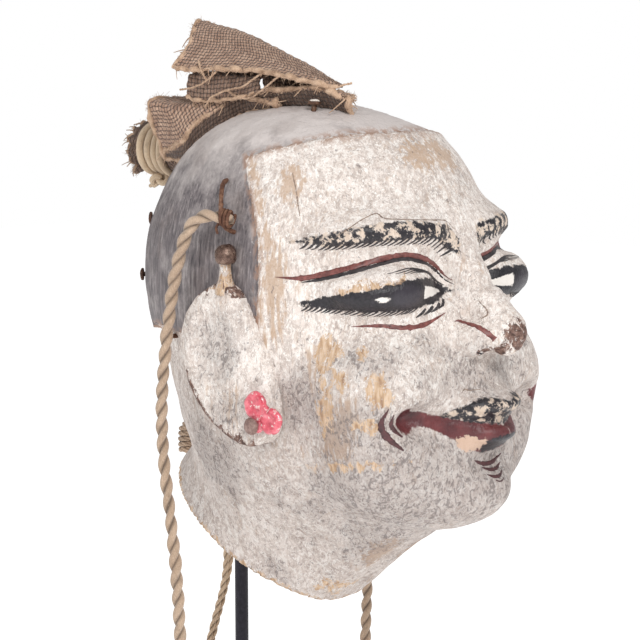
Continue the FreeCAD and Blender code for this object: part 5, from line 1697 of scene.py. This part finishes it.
def wood_material():
    look = Nodes("turned_wood", roughness=0.5)
    rings = look.noise(4.0, detail=6, rough=0.6, place=look.stretched(0.08, 1.0, 1.0), distortion=0.4)
    pores = look.noise(0.7, detail=3, place=look.stretched(0.05, 1.0, 1.0))
    color = look.ramp(rings, [(0.30, (0.045, 0.020, 0.010)), (0.48, (0.115, 0.055, 0.026)),
                              (0.62, (0.18, 0.090, 0.042)),
                              (0.8, (0.25, 0.135, 0.066))])
    dark = look.times(look.remap(pores, 0.62, 0.72), 0.7)
    look.color(look.mix(dark, color, (0.020, 0.010, 0.006)))
    look.rough(look.remap(rings, 0.3, 0.8, 0.42, 0.60))
    look.bump(look.math("MULTIPLY_ADD", pores, -0.6, rings), 0.12, 0.6)
    return look.material


def plain_material(name, low, high, scale, rough, metal=0.0, bump=0.1, shine=0.5):
    look = Nodes(name, roughness=rough, Metallic=metal)
    grain = look.noise(scale, detail=5, rough=0.65)
    look.color(look.ramp(grain, [(0.35, low), (0.65, high)]))
    look.rough(look.remap(grain, 0.3, 0.7, max(rough - 0.12, 0.05), min(rough + 0.12, 1.0)))
    look.bump(grain, bump, 0.6)
    look.shader.inputs["Specular IOR Level"].default_value = shine
    return look.material


def dress_stand():
    assign("base_block", wood_material())
    assign("base_felt", plain_material("felt_green", (0.010, 0.022, 0.014), (0.030, 0.055, 0.036), 0.5, 0.97,
                                       bump=0.3))
    black = plain_material("rod_black", (0.010, 0.009, 0.014), (0.026, 0.024, 0.034), 1.6, 0.42, bump=0.08,
                           shine=0.18)
    assign("stand_rod", black)
    assign("rod_collar", plain_material("collar_black", (0.014, 0.014, 0.016), (0.035, 0.034, 0.040), 1.2,
                                        0.38, 0.3))
    zinc = plain_material("zinc_grey", (0.32, 0.33, 0.35), (0.55, 0.56, 0.58), 1.0, 0.38, 0.9)
    assign("rod_washer", zinc)
    assign("rod_nut", zinc)
    assign("neck_liner", plain_material("liner_brass", (0.36, 0.24, 0.09), (0.52, 0.37, 0.15), 1.0, 0.35,
                                        0.9))
    assign("topknot_core", plain_material("stub_wood", (0.06, 0.035, 0.022), (0.19, 0.12, 0.075), 1.4, 0.85,
                                          bump=0.3))


def pink_material():
    look = Nodes("pink_lacquer", roughness=0.22, Coat_Weight=0.8, Coat_Roughness=0.08)
    tone = look.noise(2.6, detail=4)
    color = look.ramp(tone, [(0.32, (0.44, 0.040, 0.065)), (0.50, (0.68, 0.085, 0.125)),
                             (0.66, (0.80, 0.21, 0.25))])
    worn = look.remap(look.noise(1.9, detail=5, rough=0.62), 0.575, 0.605)
    look.color(look.mix(look.times(worn, 0.85), color, (0.82, 0.66, 0.62)))
    look.bump(look.noise(1.5, detail=4), 0.30, 0.7)
    return look.material


# ================================================================ build
def build_head(material):
    points, quads = surface_net(head_distance, GRID_LOW, GRID_HIGH, GRID_STEP)
    points, quads = mirrored(points, quads)
    _, normal = gradient(head_distance, points)
    flat = np.array([math.sin(CROWN_LEAN) * math.cos(CROWN_HEADING),
                     math.sin(CROWN_LEAN) * math.sin(CROWN_HEADING),
                     math.cos(CROWN_LEAN)])
    over = np.maximum(points @ flat - CROWN_REACH, 0)
    points = points - flat * (smoothstep(0, 6, points[:, 0]) * over ** 2 / (over + 1.5))[:, None]
    masks = paint_masks(points)
    out = relief(points, masks)
    out = np.where(masks["rim"] < 1.2, 0.0, out)
    points = points + normal * out[:, None]
    head = mesh_object("head_carved", points, quads)
    del masks["rim"]
    set_attributes(head, masks)
    finish_piece(head, "head", material, ["head_block"])
    return head


def build():
    rope = rope_material("rope_jute", (0.54, 0.40, 0.29), (0.29, 0.19, 0.125))
    tail = rope_material("string_jute", (0.66, 0.50, 0.35), (0.34, 0.22, 0.14), fibre=0.18)
    straw = rope_material("lashing_straw", (0.68, 0.53, 0.37), (0.38, 0.265, 0.17), fibre=0.18)
    make_ropes(rope, tail)
    make_nape_knot(rope)
    ground = gesso_material("chalk_ground")
    head = build_head(ground)
    skin = Skin(head)
    tones = {"red": ((0.085, 0.022, 0.020), (0.25, 0.080, 0.068)),
             "ink": ((0.012, 0.010, 0.012), (0.055, 0.045, 0.048)),
             "deep": ((0.040, 0.013, 0.015), (0.105, 0.034, 0.036)),
             "crack": ((0.16, 0.105, 0.080), (0.36, 0.27, 0.21))}
    for tone, strokes in paint_strokes(skin, np.random.default_rng(3)).items():
        paint_tone = plain_material("stroke_" + tone, *tones[tone], 1.4, 0.45, bump=0.1)
        finish_piece(strokes.object(tone + "_strokes"), "head", paint_tone)
    iron = rust_material("iron_rusty", (0.105, 0.055, 0.038), (0.20, 0.11, 0.07))
    wire = rust_material("wire_rusty", (0.125, 0.052, 0.030), (0.24, 0.125, 0.075), rough=0.85, metal=0.2)
    knob = rust_material("knob_iron", (0.15, 0.090, 0.070), (0.30, 0.21, 0.165), rough=0.40, metal=0.7)
    pin_iron = rust_material("pin_rusty", (0.21, 0.125, 0.105), (0.36, 0.245, 0.215), rough=0.62, metal=0.15)
    pink = pink_material()
    for side in (-1, 1):
        make_ear(side, ground)
        make_ear_nail(side, knob, ground)
        make_flower(side, pink, pin_iron)
    make_staples(wire)
    make_nails(iron)
    make_lashing(straw)
    make_cloths(cloth_material("hessian_weave"))
    dress_stand()


make_camera()
make_stage()
build()
